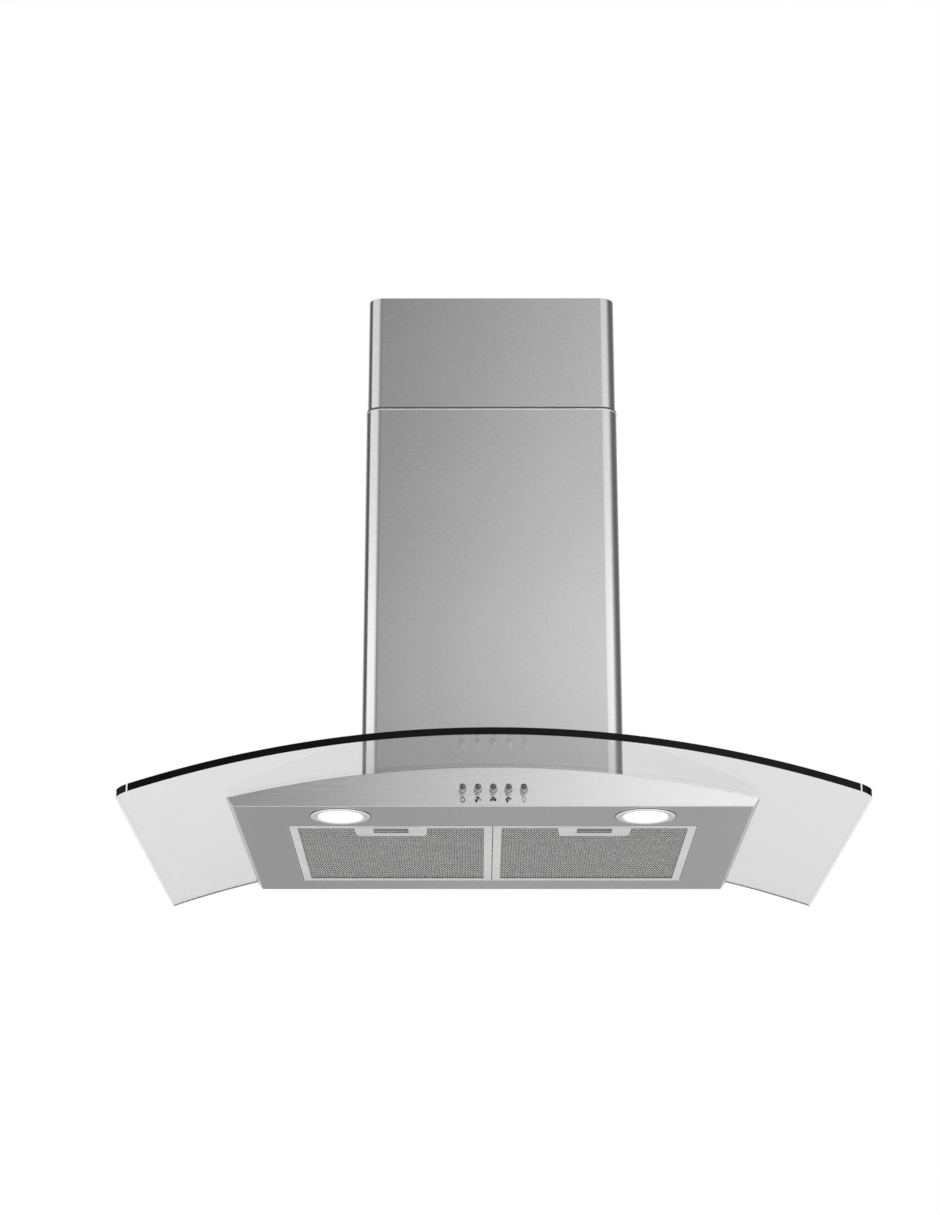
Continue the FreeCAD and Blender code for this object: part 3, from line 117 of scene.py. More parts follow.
def addMath(tree, operation, first, second=0.0, third=0.0):
    feeds = {0: first, 1: second, 2: third}
    return addNode(tree, "ShaderNodeMath", feeds, operation=operation).outputs[0]


def addRange(tree, value, reach, span=(0.0, 1.0), kind="LINEAR"):
    return addNode(tree, "ShaderNodeMapRange", {
        "Value": value, "From Min": reach[0], "From Max": reach[1],
        "To Min": span[0], "To Max": span[1]}, interpolation_type=kind).outputs[0]


def addMix(tree, factor, first, second):
    return addNode(tree, "ShaderNodeMix", {"Factor": factor, "A": first, "B": second}).outputs[0]


surroundings = {
    "soft": 0.62,                # what lights the object from all round
    # what polished metal shows round it: degrees to the right of the front, and brightness
    "around": [
        (-180, 0.30), (-174.5, 0.25), (-171, 0.48), (-165, 0.60), (-150, 0.60), (-130, 0.24), (-116, 0.12),
        (-96, 0.12), (-88, 1.5), (-30, 1.5), (-20, 0.78), (-12, 0.38), (-6.5, 0.14), (-4.5, 0.24),
        (-2.8, 0.53), (0, 0.75), (2.4, 0.98), (4.5, 1.26), (7, 1.36), (18, 1.42), (22, 1.5), (52, 1.5),
        (60, 1.1), (69, 0.62), (78, 0.34), (88, 0.24), (98, 0.18), (124, 0.20), (150, 0.60), (165, 0.60),
        (174, 0.29), (180, 0.30),
    ],
    # and how its front fades with height, from -1 straight down to 1 straight up
    "upwards": [
        (-1.0, 0.6), (-0.32, 0.3), (-0.02, 0.3), (0.12, 0.6), (0.24, 0.64), (0.265, 0.72), (0.30, 1.45),
        (0.345, 0.82), (0.375, 0.74), (0.41, 0.76), (0.45, 0.64), (0.58, 0.5), (1.0, 0.5),
    ],
    "frontToBack": (-0.2, 0.2),  # where that fading ends, past the sides
    "strength": 1.2,
    "steep": (0.55, 0.85),       # heights over which the overhead tone takes over
    "overhead": (0.18, 0.95),    # straight up, on the left and on the right
    "overheadSides": (-0.3, 0.3),
    "down": (-0.35, -0.6),       # heights over which the tone below takes over
    "below": 0.95,               # straight down, where the floor lies
}


def addRamp(tree, factor, reach, stops):
    ramp = addNode(tree, "ShaderNodeValToRGB", {
        "Fac": addMath(tree, "MULTIPLY_ADD", factor, 0.5 / reach, 0.5)})
    band = ramp.color_ramp
    while len(band.elements) < len(stops):
        band.elements.new(0.5)
    for element, (place, value) in zip(band.elements, stops):
        element.position = place / reach / 2 + 0.5
        element.color = (value, value, value, 1)
    return ramp.outputs["Color"]


def makeSurroundings():
    look = surroundings
    world = bpy.data.worlds.new("whiteStudio")
    world.use_nodes = True
    scene.world = world
    tree = world.node_tree
    shade = tree.nodes["Background"]
    rays = addNode(tree, "ShaderNodeLightPath").outputs
    place = addNode(tree, "ShaderNodeTexCoord").outputs["Generated"]
    parts = addNode(tree, "ShaderNodeSeparateXYZ", {"Vector": place}).outputs
    backwards = addMath(tree, "MULTIPLY", parts["Y"], -1.0)
    turn = addMath(tree, "DEGREES", addMath(tree, "ARCTAN2", parts["X"], backwards))
    fade = addMix(tree, addRange(tree, parts["Y"], look["frontToBack"]),
                  addRamp(tree, parts["Z"], 1, look["upwards"]), 1.0)
    around = addMath(tree, "MULTIPLY", addRamp(tree, turn, 180, look["around"]), fade)
    around = addMath(tree, "MULTIPLY", around, look["strength"])
    steep = addRange(tree, addMath(tree, "ABSOLUTE", parts["Z"]), look["steep"], kind="SMOOTHSTEP")
    overhead = addRange(tree, parts["X"], look["overheadSides"], look["overhead"], "SMOOTHSTEP")
    down = addRange(tree, parts["Z"], look["down"], kind="SMOOTHSTEP")
    shown = addMix(tree, down, addMix(tree, steep, around, overhead), look["below"])
    reflected = addMath(tree, "MULTIPLY", addMath(tree, "GREATER_THAN", rays["Glossy Depth"], 0.5),
                        addMath(tree, "SUBTRACT", 1.0, rays["Is Diffuse Ray"]))
    lit = addMix(tree, reflected, look["soft"], shown)
    white = addMath(tree, "MAXIMUM", rays["Is Camera Ray"], rays["Is Transmission Ray"])
    white = addMath(tree, "MULTIPLY", white, addMath(tree, "SUBTRACT", 1.0, reflected))
    tree.links.new(addMath(tree, "MAXIMUM", lit, white), shade.inputs["Strength"])
    shade.inputs["Color"].default_value = (1, 1, 1, 1)


makeCamera()
makeLamps()
makeSurroundings()
print("camera, lamps and surroundings are up")


# Finishes. The groups hold what several finishes share.

def addSocket(tree, label, way, kind):
    return tree.interface.new_socket(label, in_out=way, socket_type="NodeSocket" + kind)


def newGroup(name, given, results):
    group = bpy.data.node_groups.new(name, "ShaderNodeTree")
    for label, value in {"Vector": (0, 0, 0), **given}.items():
        kind = "Vector" if isinstance(value, tuple) else "Float"
        addSocket(group, label, "INPUT", kind).default_value = value
    for label in results:
        addSocket(group, label, "OUTPUT", "Float")
    return group, group.nodes.new("NodeGroupInput").outputs, group.nodes.new("NodeGroupOutput").inputs


groupShape = {
    "coarseGrain": 0.21, "grainShares": (0.65, 0.35),  # the coarse scale, and what fine and coarse add
    "grainSpread": (0.36, 0.64), "shineSpread": (0.35, 0.68),  # the noise values that become 0 and 1
}


def makeGrainGroup():
    group, given, result = newGroup("rolledGrain", {"Stretch": (1, 1, 1), "Fineness": 1.0}, ["Tone", "Height"])
    drawn = addNode(group, "ShaderNodeVectorMath", {
        0: given["Vector"], 1: given["Stretch"]}, operation="MULTIPLY").outputs[0]
    fine = addNode(group, "ShaderNodeTexNoise", {
        "Vector": drawn, "Scale": given["Fineness"], "Detail": 3.0, "Roughness": 0.65}).outputs["Fac"]
    coarse = addNode(group, "ShaderNodeTexNoise", {
        "Vector": drawn, "Scale": addMath(group, "MULTIPLY", given["Fineness"], groupShape["coarseGrain"]),
        "Detail": 2.0}).outputs["Fac"]
    fineShare, coarseShare = groupShape["grainShares"]
    tone = addMath(group, "ADD", addMath(group, "MULTIPLY", fine, fineShare),
                   addMath(group, "MULTIPLY", coarse, coarseShare))
    group.links.new(addRange(group, tone, groupShape["grainSpread"]), result["Tone"])
    group.links.new(fine, result["Height"])
    return group


def makeHandlingGroup():
    group, given, result = newGroup("unevenShine", {"Patches": 9.0, "Low": 0.0, "High": 1.0}, ["Mask"])
    cloud = addNode(group, "ShaderNodeTexNoise", {
        "Vector": given["Vector"], "Scale": given["Patches"], "Detail": 4.0, "Distortion": 0.6})
    group.links.new(addRange(group, cloud.outputs["Fac"], groupShape["shineSpread"],
                             (given["Low"], given["High"]), "SMOOTHSTEP"), result["Mask"])
    return group


def makeMouldedGroup():
    group, given, result = newGroup("mouldedSkin", {"Fineness": 1800.0}, ["Tone", "Height"])
    pits = addNode(group, "ShaderNodeTexVoronoi", {
        "Vector": given["Vector"], "Scale": given["Fineness"]}, feature="SMOOTH_F1")
    flow = addNode(group, "ShaderNodeTexNoise", {"Vector": given["Vector"], "Scale": 26.0, "Detail": 3.0})
    group.links.new(flow.outputs["Fac"], result["Tone"])
    group.links.new(pits.outputs["Distance"], result["Height"])
    return group


def makeSpangleGroup():
    group, given, result = newGroup("zincSpangle", {"Flakes": 120.0}, ["Tone", "Height"])
    flakes = addNode(group, "ShaderNodeTexVoronoi", {"Vector": given["Vector"], "Scale": given["Flakes"]})
    tone = addNode(group, "ShaderNodeSeparateColor", {"Color": flakes.outputs["Color"]})
    group.links.new(tone.outputs[0], result["Tone"])
    group.links.new(flakes.outputs["Distance"], result["Height"])
    return group


grainGroup = makeGrainGroup()
handlingGroup = makeHandlingGroup()
mouldedGroup = makeMouldedGroup()
spangleGroup = makeSpangleGroup()


def placeGroup(tree, group, place, feeds):
    return addNode(tree, "ShaderNodeGroup", {"Vector": place, **feeds}, node_tree=group).outputs


def startFinish(name, fixed):
    finish = bpy.data.materials.new(name)
    finish.use_nodes = True
    tree = finish.node_tree
    shader = tree.nodes["Principled BSDF"]
    for key, value in fixed.items():
        shader.inputs[key].default_value = value
    place = addNode(tree, "ShaderNodeTexCoord").outputs["Object"]
    return finish, tree, shader, place


def blendColours(tree, factor, low, high):
    mixed = addNode(tree, "ShaderNodeMix", {"Factor": factor}, data_type="RGBA")
    for key, colour in (("A", low), ("B", high)):  # one number stands for a grey
        mixed.inputs[key].default_value = (*colour, 1) if isinstance(colour, tuple) else (*[colour] * 3, 1)
    return mixed.outputs["Result"]


def addSkin(tree, shader, look, tone, shine=None):
    colour = blendColours(tree, tone, look["low"], look["high"])
    rough = addRange(tree, tone if shine is None else shine, (0.0, 1.0), look["rough"])
    tree.links.new(colour, shader.inputs["Base Color"])
    tree.links.new(rough, shader.inputs["Roughness"])
    return colour


def addBump(tree, shader, height, strength, distance, fold=None):
    bump = addNode(tree, "ShaderNodeBump", {"Height": height, "Strength": strength, "Distance": distance})
    if fold:
        bend = addNode(tree, "ShaderNodeBevel", {"Radius": fold}, samples=6)
        tree.links.new(bend.outputs[0], bump.inputs["Normal"])
    tree.links.new(bump.outputs[0], shader.inputs["Normal"])


# Sheet metal: colours, grain direction, shine, how deep the grain is and how round the folds are. Cover and
# canopy are one steel; the cover's darker colours are painted shade, the canopy's lighter ones painted light.
aluminium = {"low": (0.88, 0.88, 0.875), "high": (0.95, 0.95, 0.945)}
sheetLooks = {
    "brushedCoverShadedSteel": {"low": 0.465, "high": 0.555, "stretch": (900, 900, 2600), "rough": (0.17, 0.21),
                     "depth": 0.00001, "anisotropy": 0.3},
    "brushedCanopyLitSteel": {"low": 0.87, "high": 0.94, "stretch": (90, 2600, 2600), "rough": (0.12, 0.16),
                      "depth": 0.00001, "anisotropy": 0.3, "fold": 0.0016},
    "filterAluminium": {**aluminium, "stretch": (40, 1100, 1100), "rough": (0.40, 0.50),
                        "depth": 0.00002, "anisotropy": 0.2},
    "latchAluminium": {**aluminium, "stretch": (40, 900, 900), "rough": (0.38, 0.48),
                       "depth": 0.00002, "anisotropy": 0.2},
    "lampRing": {**aluminium, "stretch": (700, 700, 700), "rough": (0.32, 0.40),
                 "depth": 0.00001, "anisotropy": 0.2},
}
sheetMix = {"grain": 0.88, "shine": 0.12, "patches": 7.0, "bump": 0.25}


def makeSheet(name):
    look = sheetLooks[name]
    finish, tree, shader, place = startFinish(name, {"Metallic": 1.0, "Anisotropic": look["anisotropy"]})
    grain = placeGroup(tree, grainGroup, place, {"Stretch": look["stretch"]})
    shine = placeGroup(tree, handlingGroup, place, {"Patches": sheetMix["patches"]})
    tone = addMath(tree, "ADD", addMath(tree, "MULTIPLY", grain["Tone"], sheetMix["grain"]),
                   addMath(tree, "MULTIPLY", shine["Mask"], sheetMix["shine"]))
    addSkin(tree, shader, look, tone)
    addBump(tree, shader, grain["Height"], sheetMix["bump"], look["depth"], look.get("fold"))
    return finish


# Zinc-coated sheet and bright small parts that stay inside.
zincLooks = {
    "innerZinc": {"low": (0.46, 0.47, 0.48), "high": (0.64, 0.65, 0.66), "rough": (0.32, 0.5),
                  "flakes": 110.0},
    "screwZinc": {"low": (0.55, 0.55, 0.53), "high": (0.70, 0.69, 0.66), "rough": (0.2, 0.36),
                  "flakes": 900.0},
    "lampCan": {"low": 0.56, "high": 0.68, "rough": (0.3, 0.42), "flakes": 420.0},
}
zincMix = {"flakes": 0.6, "shine": 0.5, "patches": 14.0, "bump": 0.08, "depth": 0.0001}


def makeZinc(name):
    look = zincLooks[name]
    finish, tree, shader, place = startFinish(name, {"Metallic": 1.0})
    flakes = placeGroup(tree, spangleGroup, place, {"Flakes": look["flakes"]})
    shine = placeGroup(tree, handlingGroup, place, {"Patches": zincMix["patches"], "High": zincMix["shine"]})
    tone = addMath(tree, "ADD", addMath(tree, "MULTIPLY", flakes["Tone"], zincMix["flakes"]), shine["Mask"])
    addSkin(tree, shader, look, tone)
    addBump(tree, shader, flakes["Height"], zincMix["bump"], zincMix["depth"])
    return finish


# Moulded, painted and soft parts.
mouldedLooks = {
    "greyPlastic": {"low": (0.13, 0.13, 0.14), "high": (0.19, 0.19, 0.20), "rough": (0.42, 0.58),
                    "fineness": 1500.0, "bump": 0.12},
    "whitePlastic": {"low": (0.72, 0.72, 0.70), "high": (0.80, 0.80, 0.78), "rough": (0.36, 0.5),
                     "fineness": 1500.0, "bump": 0.1},
    "latchPlastic": {"low": (0.26, 0.26, 0.265), "high": (0.34, 0.34, 0.345), "rough": (0.35, 0.5),
                     "fineness": 2200.0, "bump": 0.1},
    "motorPaint": {"low": (0.17, 0.18, 0.19), "high": (0.23, 0.24, 0.25), "rough": (0.3, 0.44),
                   "fineness": 700.0, "bump": 0.16},
    # black foam on the tape and pads; the same colour is painted shade on the gap strip and round the lamp
    # rings
    "blackFoamAndPaintedShade": {"low": 0.04, "high": 0.09, "rough": (0.8, 0.95), "fineness": 900.0, "bump": 0.6},
    "markPrint": {"low": (0.006, 0.006, 0.007), "high": (0.014, 0.014, 0.015), "rough": (0.5, 0.65),
                  "fineness": 3000.0, "bump": 0.1},
    "lampMarkPrint": {"low": (0.12, 0.12, 0.125), "high": (0.17, 0.17, 0.175), "rough": (0.4, 0.55),
                      "fineness": 3000.0, "bump": 0.1},
}
pitDepth = 0.0002


def makeMoulded(name):
    look = mouldedLooks[name]
    finish, tree, shader, place = startFinish(name, {"Metallic": 0.0})
    skin = placeGroup(tree, mouldedGroup, place, {"Fineness": look["fineness"]})
    addSkin(tree, shader, look, skin["Tone"])
    addBump(tree, shader, skin["Height"], look["bump"], pitDepth)
    return finish


glassLook = {
    "clear": (0.985, 0.99, 0.988),
    "streak": (0.965, 0.97, 0.968),
    "ior": 1.42,
    "reflectionStreakLie": {"Rotation": (0, 0, 0.5), "Scale": (3.2, 0.5, 1)},  # how the painted reflection streak lies
    "reflectionStreakPatches": 1.6, "filmPatches": 16.0, "film": 0.02,
    "groundStretch": (60, 60, 2200),
}
# The edges of the pane; light passes straight through the clear one. The near-black front edge and the dark
# arris are painted shade, and the grey back edge is painted shade too.
edgeLooks = {
    "frontEdge": {"low": (0.002, 0.0022, 0.0024), "high": (0.005, 0.0053, 0.0056), "rough": (0.10, 0.18),
                  "shine": 0.12},
    "sideEdge": {"low": (0.82, 0.84, 0.835), "high": (0.88, 0.895, 0.89), "rough": (0.02, 0.10),
                 "shine": 0.5, "clear": 1.0},
    # painted highlight: a pale strip where the front corner's rounding starts
    "seam": {"low": (0.62, 0.64, 0.635), "high": (0.78, 0.80, 0.795), "rough": (0.22, 0.30),
             "shine": 0.5},
    "backEdge": {"low": (0.22, 0.235, 0.23), "high": (0.30, 0.315, 0.31), "rough": (0.22, 0.30),
                 "shine": 0.5},
    "arris": {"low": (0.02, 0.021, 0.022), "high": (0.05, 0.052, 0.053), "rough": (0.05, 0.13),
              "shine": 0.6},
}


def makeGlass():
    finish, tree, shader, place = startFinish("canopyGlass", {
        "Metallic": 0.0, "Transmission Weight": 1.0, "IOR": glassLook["ior"]})
    # a soft darker streak in the pane: painted reflection
    streakPlace = addNode(tree, "ShaderNodeMapping", {"Vector": place, **glassLook["reflectionStreakLie"]}).outputs[0]
    streak = placeGroup(tree, handlingGroup, streakPlace, {"Patches": glassLook["reflectionStreakPatches"]})
    film = placeGroup(tree, handlingGroup, place, {
        "Patches": glassLook["filmPatches"], "High": glassLook["film"]})
    tree.links.new(blendColours(tree, streak["Mask"], glassLook["clear"], glassLook["streak"]),
                   shader.inputs["Base Color"])
    tree.links.new(film["Mask"], shader.inputs["Roughness"])
    return finish


def makeGlassEdge(name):
    look = edgeLooks[name]
    finish, tree, shader, place = startFinish("glass" + name[0].upper() + name[1:], {
        "Metallic": 0.0, "IOR": 1.0 if "clear" in look else glassLook["ior"],
        "Specular IOR Level": look["shine"], "Transmission Weight": look.get("clear", 0.0)})
    ground = placeGroup(tree, grainGroup, place, {"Stretch": glassLook["groundStretch"]})
    addSkin(tree, shader, look, ground["Tone"])
    return finish


lampLensLook = {
    "low": (1.0, 0.97, 0.92), "high": (1.0, 1.0, 0.98), "glow": 1.15, "ior": 1.5,
    "rings": 1450.0, "rough": (0.35, 0.5), "bump": 0.3, "depth": 0.0003,
}


def makeLensFinish():
    look = lampLensLook
    finish, tree, shader, place = startFinish("frostedLens", {
        "Metallic": 0.0, "IOR": look["ior"], "Emission Strength": look["glow"]})
    ripple = placeGroup(tree, mouldedGroup, place, {"Fineness": look["rings"]})
    tree.links.new(addSkin(tree, shader, look, ripple["Tone"]), shader.inputs["Emission Color"])
    addBump(tree, shader, ripple["Height"], look["bump"], look["depth"])
    return finish


# The turned parts: bright button and bezel, and the button's end dome, painted dark as a painted reflection of
# dark surroundings.
chromeLooks = {
    "buttonChrome": {"low": 0.56, "high": 0.68, "rough": (0.08, 0.16)},
    "buttonEndPaintedReflection": {"low": 0.15, "high": 0.22, "rough": (0.14, 0.24)},
}
chromeMix = {"grain": (900, 900, 900), "patches": 90.0}


def makeChrome(name):
    look = chromeLooks[name]
    finish, tree, shader, place = startFinish(name, {"Metallic": 1.0})
    turned = placeGroup(tree, grainGroup, place, {"Stretch": chromeMix["grain"]})
    shine = placeGroup(tree, handlingGroup, place, {"Patches": chromeMix["patches"]})
    addSkin(tree, shader, look, turned["Tone"], shine["Mask"])
    return finish


sleeveLook = {
    "low": 0.14, "high": 0.03,  # the yarn, and the gaps between
    "rough": (0.45, 0.8), "braid": 620.0, "turn": (0.785, 0.0, 0.785), "bump": 0.5, "depth": 0.0004,
}


def makeSleeve():
    look = sleeveLook
    finish, tree, shader, place = startFinish("braidedSleeve", {"Metallic": 0.0})
    turned = addNode(tree, "ShaderNodeMapping", {"Vector": place, "Rotation": look["turn"]}).outputs[0]
    braid = addNode(tree, "ShaderNodeTexBrick", {
        "Vector": turned, "Scale": look["braid"], "Mortar Size": 0.05,
        "Brick Width": 1.0, "Row Height": 0.5}).outputs["Fac"]
    addSkin(tree, shader, look, braid)
    addBump(tree, shader, braid, look["bump"], look["depth"])
    return finish


# The filter's wires, and the pack of finer mesh behind them, seen from below and from above; the near-black
# underside is painted shade behind the wires.
wireLook = {"low": (0.86, 0.86, 0.855), "high": (0.93, 0.93, 0.92), "rough": (0.30, 0.38), "patches": 60.0}
packLooks = {
    "filterPackUndersideShade": {"low": 0.02, "high": (0.10, 0.10, 0.098), "rough": (0.7, 0.4)},
    "filterPackTop": {"low": 0.16, "high": (0.80, 0.80, 0.79), "rough": (0.7, 0.4)},
}
packMix = {"metallic": 0.85, "mesh": 640.0, "strand": (0.04, 0.16), "bump": 0.6, "depth": 0.0004}


def makeWire():
    finish, tree, shader, place = startFinish("filterWire", {"Metallic": 1.0})
    shine = placeGroup(tree, handlingGroup, place, {"Patches": wireLook["patches"]})
    addSkin(tree, shader, wireLook, shine["Mask"])
    return finish


def makeWirePack(name):
    finish, tree, shader, place = startFinish(name, {"Metallic": packMix["metallic"]})
    cells = addNode(tree, "ShaderNodeTexVoronoi", {
        "Vector": place, "Scale": packMix["mesh"]}, feature="DISTANCE_TO_EDGE").outputs["Distance"]
    strands = addRange(tree, cells, packMix["strand"], (1.0, 0.0))
    addSkin(tree, shader, packLooks[name], strands)
    addBump(tree, shader, strands, packMix["bump"], packMix["depth"])
    return finish


finishes = {name: makeSheet(name) for name in sheetLooks}
finishes.update({name: makeZinc(name) for name in zincLooks})
finishes.update({name: makeMoulded(name) for name in mouldedLooks})
finishes.update({name: makeGlassEdge(name) for name in edgeLooks})
finishes.update({name: makeChrome(name) for name in chromeLooks})
finishes.update({name: makeWirePack(name) for name in packLooks})
finishes.update({"glass": makeGlass(), "lens": makeLensFinish(), "sleeve": makeSleeve(), "wire": makeWire()})

# Which finish each CAD node gets.
nodeFinishes = {
    "brushedCoverShadedSteel": ["lower_cover", "upper_cover"],
    "brushedCanopyLitSteel": ["canopy_shell"],
    "innerZinc": [
        "canopy_top", "plenum_tray", "blower_box", "glass_clips", "cover_brackets", "upper_bracket",
        "motor_bracket", "switch_bracket",
    ],
    "screwZinc": ["cover_screws", "upper_screws", "damper_pin", "motor_shaft"],
    "lampCan": ["lamp_housings"],
    "greyPlastic": [
        "scroll_housing", "inlet_rings", "fan_wheel", "outlet_duct", "outlet_collar", "damper_flap_left",
        "damper_flap_right", "cable_gland",
    ],
    "whitePlastic": ["junction_box", "junction_lid", "terminal_block", "switch_block", "lamp_driver"],
    "motorPaint": ["motor"],
    "blackFoamAndPaintedShade": ["mounting_tape", "clip_pads"],
    "sleeve": ["wire_harness"],
    "filterAluminium": ["filter_frame_left", "filter_frame_right"],
    "latchAluminium": ["latch_plate_left", "latch_plate_right"],
    "latchPlastic": ["latch_slide_left", "latch_slide_right"],
    "lampRing": ["lamp_bezels"],
    "lens": ["lamp_lenses"],
    "buttonChrome": ["button_bezels"],
}
for finishName, nodeNames in nodeFinishes.items():
    for nodeName in nodeNames:
        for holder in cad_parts[nodeName].material_slots:
            holder.material = finishes[finishName]
print("finishes are on the CAD nodes")


# Pieces made here

def keepPiece(name, mesh, finishNames, body, replaced=()):
    for finishName in finishNames:
        mesh.materials.append(finishes[finishName])
    piece = bpy.data.objects.new(name, mesh)
    scene.collection.objects.link(piece)
    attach(piece, body)
    if replaced:
        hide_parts(*replaced)


def meshFrom(name, shape, sharp=None, smooth=True):
    if sharp:
        bmesh.ops.recalc_face_normals(shape, faces=shape.faces)
    mesh = bpy.data.meshes.new(name)
    shape.to_mesh(mesh)
    shape.free()
    for face in mesh.polygons:
        face.use_smooth = smooth
    if sharp:
        mesh.set_sharp_from_angle(angle=math.radians(sharp))
    return mesh


def bakedMesh(name, work):
    bpy.context.view_layer.update()
    mesh = bpy.data.meshes.new_from_object(work.evaluated_get(bpy.context.evaluated_depsgraph_get()))
    mesh.name = name
    return mesh


glassShape = {
    "halfWidth": 375.0, "depth": 508.0, "underRadius": 1154.0, "thickness": 7.5, "rise": -156.7,
    "corner": 13.0, "notchHalf": 131.0, "notchDepth": 246.0, "notchCorner": 12.0, "arris": 0.7, "seam": 1.4,
    "columnWidth": 6.0, "rows": 24, "wingRows": 12, "cornerSteps": 7,
    "flat": 0.8, "frontward": -0.5, "sideways": 0.6,  # the normals that tell flats, front and sides
    "arrisAngle": 50, "arrisSegments": 2, "near": 0.1, "beforeNotch": 1, "besideNotch": 2,
}
glassFinishes = ["glass", "frontEdge", "sideEdge", "backEdge", "arris", "seam"]


def glassStations():
    g = glassShape
    stations = []
    steps = g["cornerSteps"]
    for index in range(steps):  # inner corner of the notch
        stations.append(g["notchHalf"] - g["notchCorner"] * (1 - math.sin(math.pi / 2 * index / steps)))
    for index in range(steps + 1):  # outer front corner
        stations.append(g["halfWidth"] - g["corner"] * (1 - math.sin(math.pi / 2 * index / steps)))
    stations.append(g["halfWidth"] - g["corner"] + g["seam"])
    low, high = g["notchHalf"], g["halfWidth"] - g["corner"]
    count = round((high - low) / g["columnWidth"])
    stations += [low + (high - low) * index / count for index in range(count)]
    low = g["notchHalf"] - g["notchCorner"]
    count = round(low / g["columnWidth"])
    stations += [low * index / count for index in range(count)]
    stations.sort()
    return [-x for x in reversed(stations[1:])] + stations


def glassFront(x):
    g = glassShape
    over = abs(x) - (g["halfWidth"] - g["corner"])
    if over <= 0:
        return -g["depth"]
    return -g["depth"] + g["corner"] - math.sqrt(max(g["corner"] ** 2 - over ** 2, 0))


def glassNotch(x):
    g = glassShape
    over = abs(x) - (g["notchHalf"] - g["notchCorner"])
    if over <= 0:
        return -g["notchDepth"]
    over = min(over, g["notchCorner"])
    return g["notchCorner"] - g["notchDepth"] - math.sqrt(max(g["notchCorner"] ** 2 - over ** 2, 0))


def buildGlass():
    g = glassShape
    centre = g["rise"] - g["underRadius"]
    stations = glassStations()
    wingRows = g["wingRows"]
    slot = {name: index for index, name in enumerate(glassFinishes)}
    shape = bmesh.new()
    layers = []
    for radius in (g["underRadius"], g["underRadius"] + g["thickness"]):
        columns = []
        for x in stations:
            front, notch = glassFront(x), glassNotch(x)
            depths = [front + (notch - front) * row / g["rows"] for row in range(g["rows"] + 1)]
            if abs(x) >= g["notchHalf"] - 0.001:
                depths += [notch * (1 - row / wingRows) for row in range(1, wingRows + 1)]
            height = centre + math.sqrt(radius ** 2 - x ** 2)
            columns.append([shape.verts.new(Vector((x, y, height)) * millimetre) for y in depths])
        layers.append(columns)
    lower, upper = layers
    inWing = [len(column) > g["rows"] + 1 for column in lower]
    rim = []
    for index in range(len(stations) - 1):
        rows = g["rows"] + (wingRows if inWing[index] and inWing[index + 1] else 0)
        if abs(stations[index]) < g["notchHalf"] and abs(stations[index + 1]) < g["notchHalf"]:
            rows = g["rows"]
        for row in range(rows):
            a, b = lower[index], lower[index + 1]
            shape.faces.new((a[row], a[row + 1], b[row + 1], b[row]))
            a, b = upper[index], upper[index + 1]
            shape.faces.new((a[row], b[row], b[row + 1], a[row + 1]))
        rim.append((index, 0, index + 1, 0))
        rim.append((index + 1, rows, index, rows))
    for index in (0, len(stations) - 1):
        for row in range(g["rows"] + wingRows):
            rim.append((index, row + 1, index, row) if index == 0 else (index, row, index, row + 1))
    for side in (-1, 1):
        index = min(range(len(stations)), key=lambda i: abs(stations[i] - side * g["notchHalf"]))
        for row in range(g["rows"], g["rows"] + wingRows):
            rim.append((index, row, index, row + 1) if side < 0 else (index, row + 1, index, row))
    for first, firstRow, second, secondRow in rim:
        shape.faces.new((lower[first][firstRow], lower[second][secondRow],
                         upper[second][secondRow], upper[first][firstRow]))
    bmesh.ops.recalc_face_normals(shape, faces=shape.faces)
    for face in shape.faces:
        normal = face.normal
        if abs(normal.z) > g["flat"]:
            continue
        middle = face.calc_center_median() / millimetre
        if abs(abs(middle.x) - (g["halfWidth"] - g["corner"] + g["seam"] / 2)) < g["near"]:
            face.material_index = slot["seam"]
        elif normal.y < g["frontward"] and middle.y < -g["notchDepth"] - g["beforeNotch"]:
            face.material_index = slot["frontEdge"]
        elif abs(middle.x) > g["notchHalf"] + g["besideNotch"] and abs(normal.x) > g["sideways"]:
            face.material_index = slot["sideEdge"]
        else:
            face.material_index = slot["backEdge"]
    piece = bpy.data.objects.new("glassPaneWork", meshFrom("glassPane", shape))
    scene.collection.objects.link(piece)
    bevel = piece.modifiers.new("arris", "BEVEL")
    bevel.width = g["arris"] * millimetre
    bevel.segments = g["arrisSegments"]
    bevel.limit_method = "ANGLE"
    bevel.angle_limit = math.radians(g["arrisAngle"])
    bevel.harden_normals = True
    bevel.material = slot["arris"]
    finished = bakedMesh("glassPane", piece)
    bpy.data.objects.remove(piece)
    for face in finished.polygons:  # the arris keeps its painted dark shade along the front band only
        middle = face.center / millimetre
        if face.material_index == slot["arris"] and middle.y > g["corner"] - g["depth"]:
            atSide = abs(middle.x) > g["halfWidth"] - 2 * g["arris"]
            face.material_index = slot["sideEdge" if atSide else "backEdge"]
    keepPiece("glassPane", finished, glassFinishes, "hood", ["glass_canopy"])


buildGlass()
print("the glass is in")


def joinRings(shape, first, second):
    afters = [*range(1, len(first)), 0]
    return [shape.faces.new((first[step], first[after], second[after], second[step]))
            for step, after in enumerate(afters)]


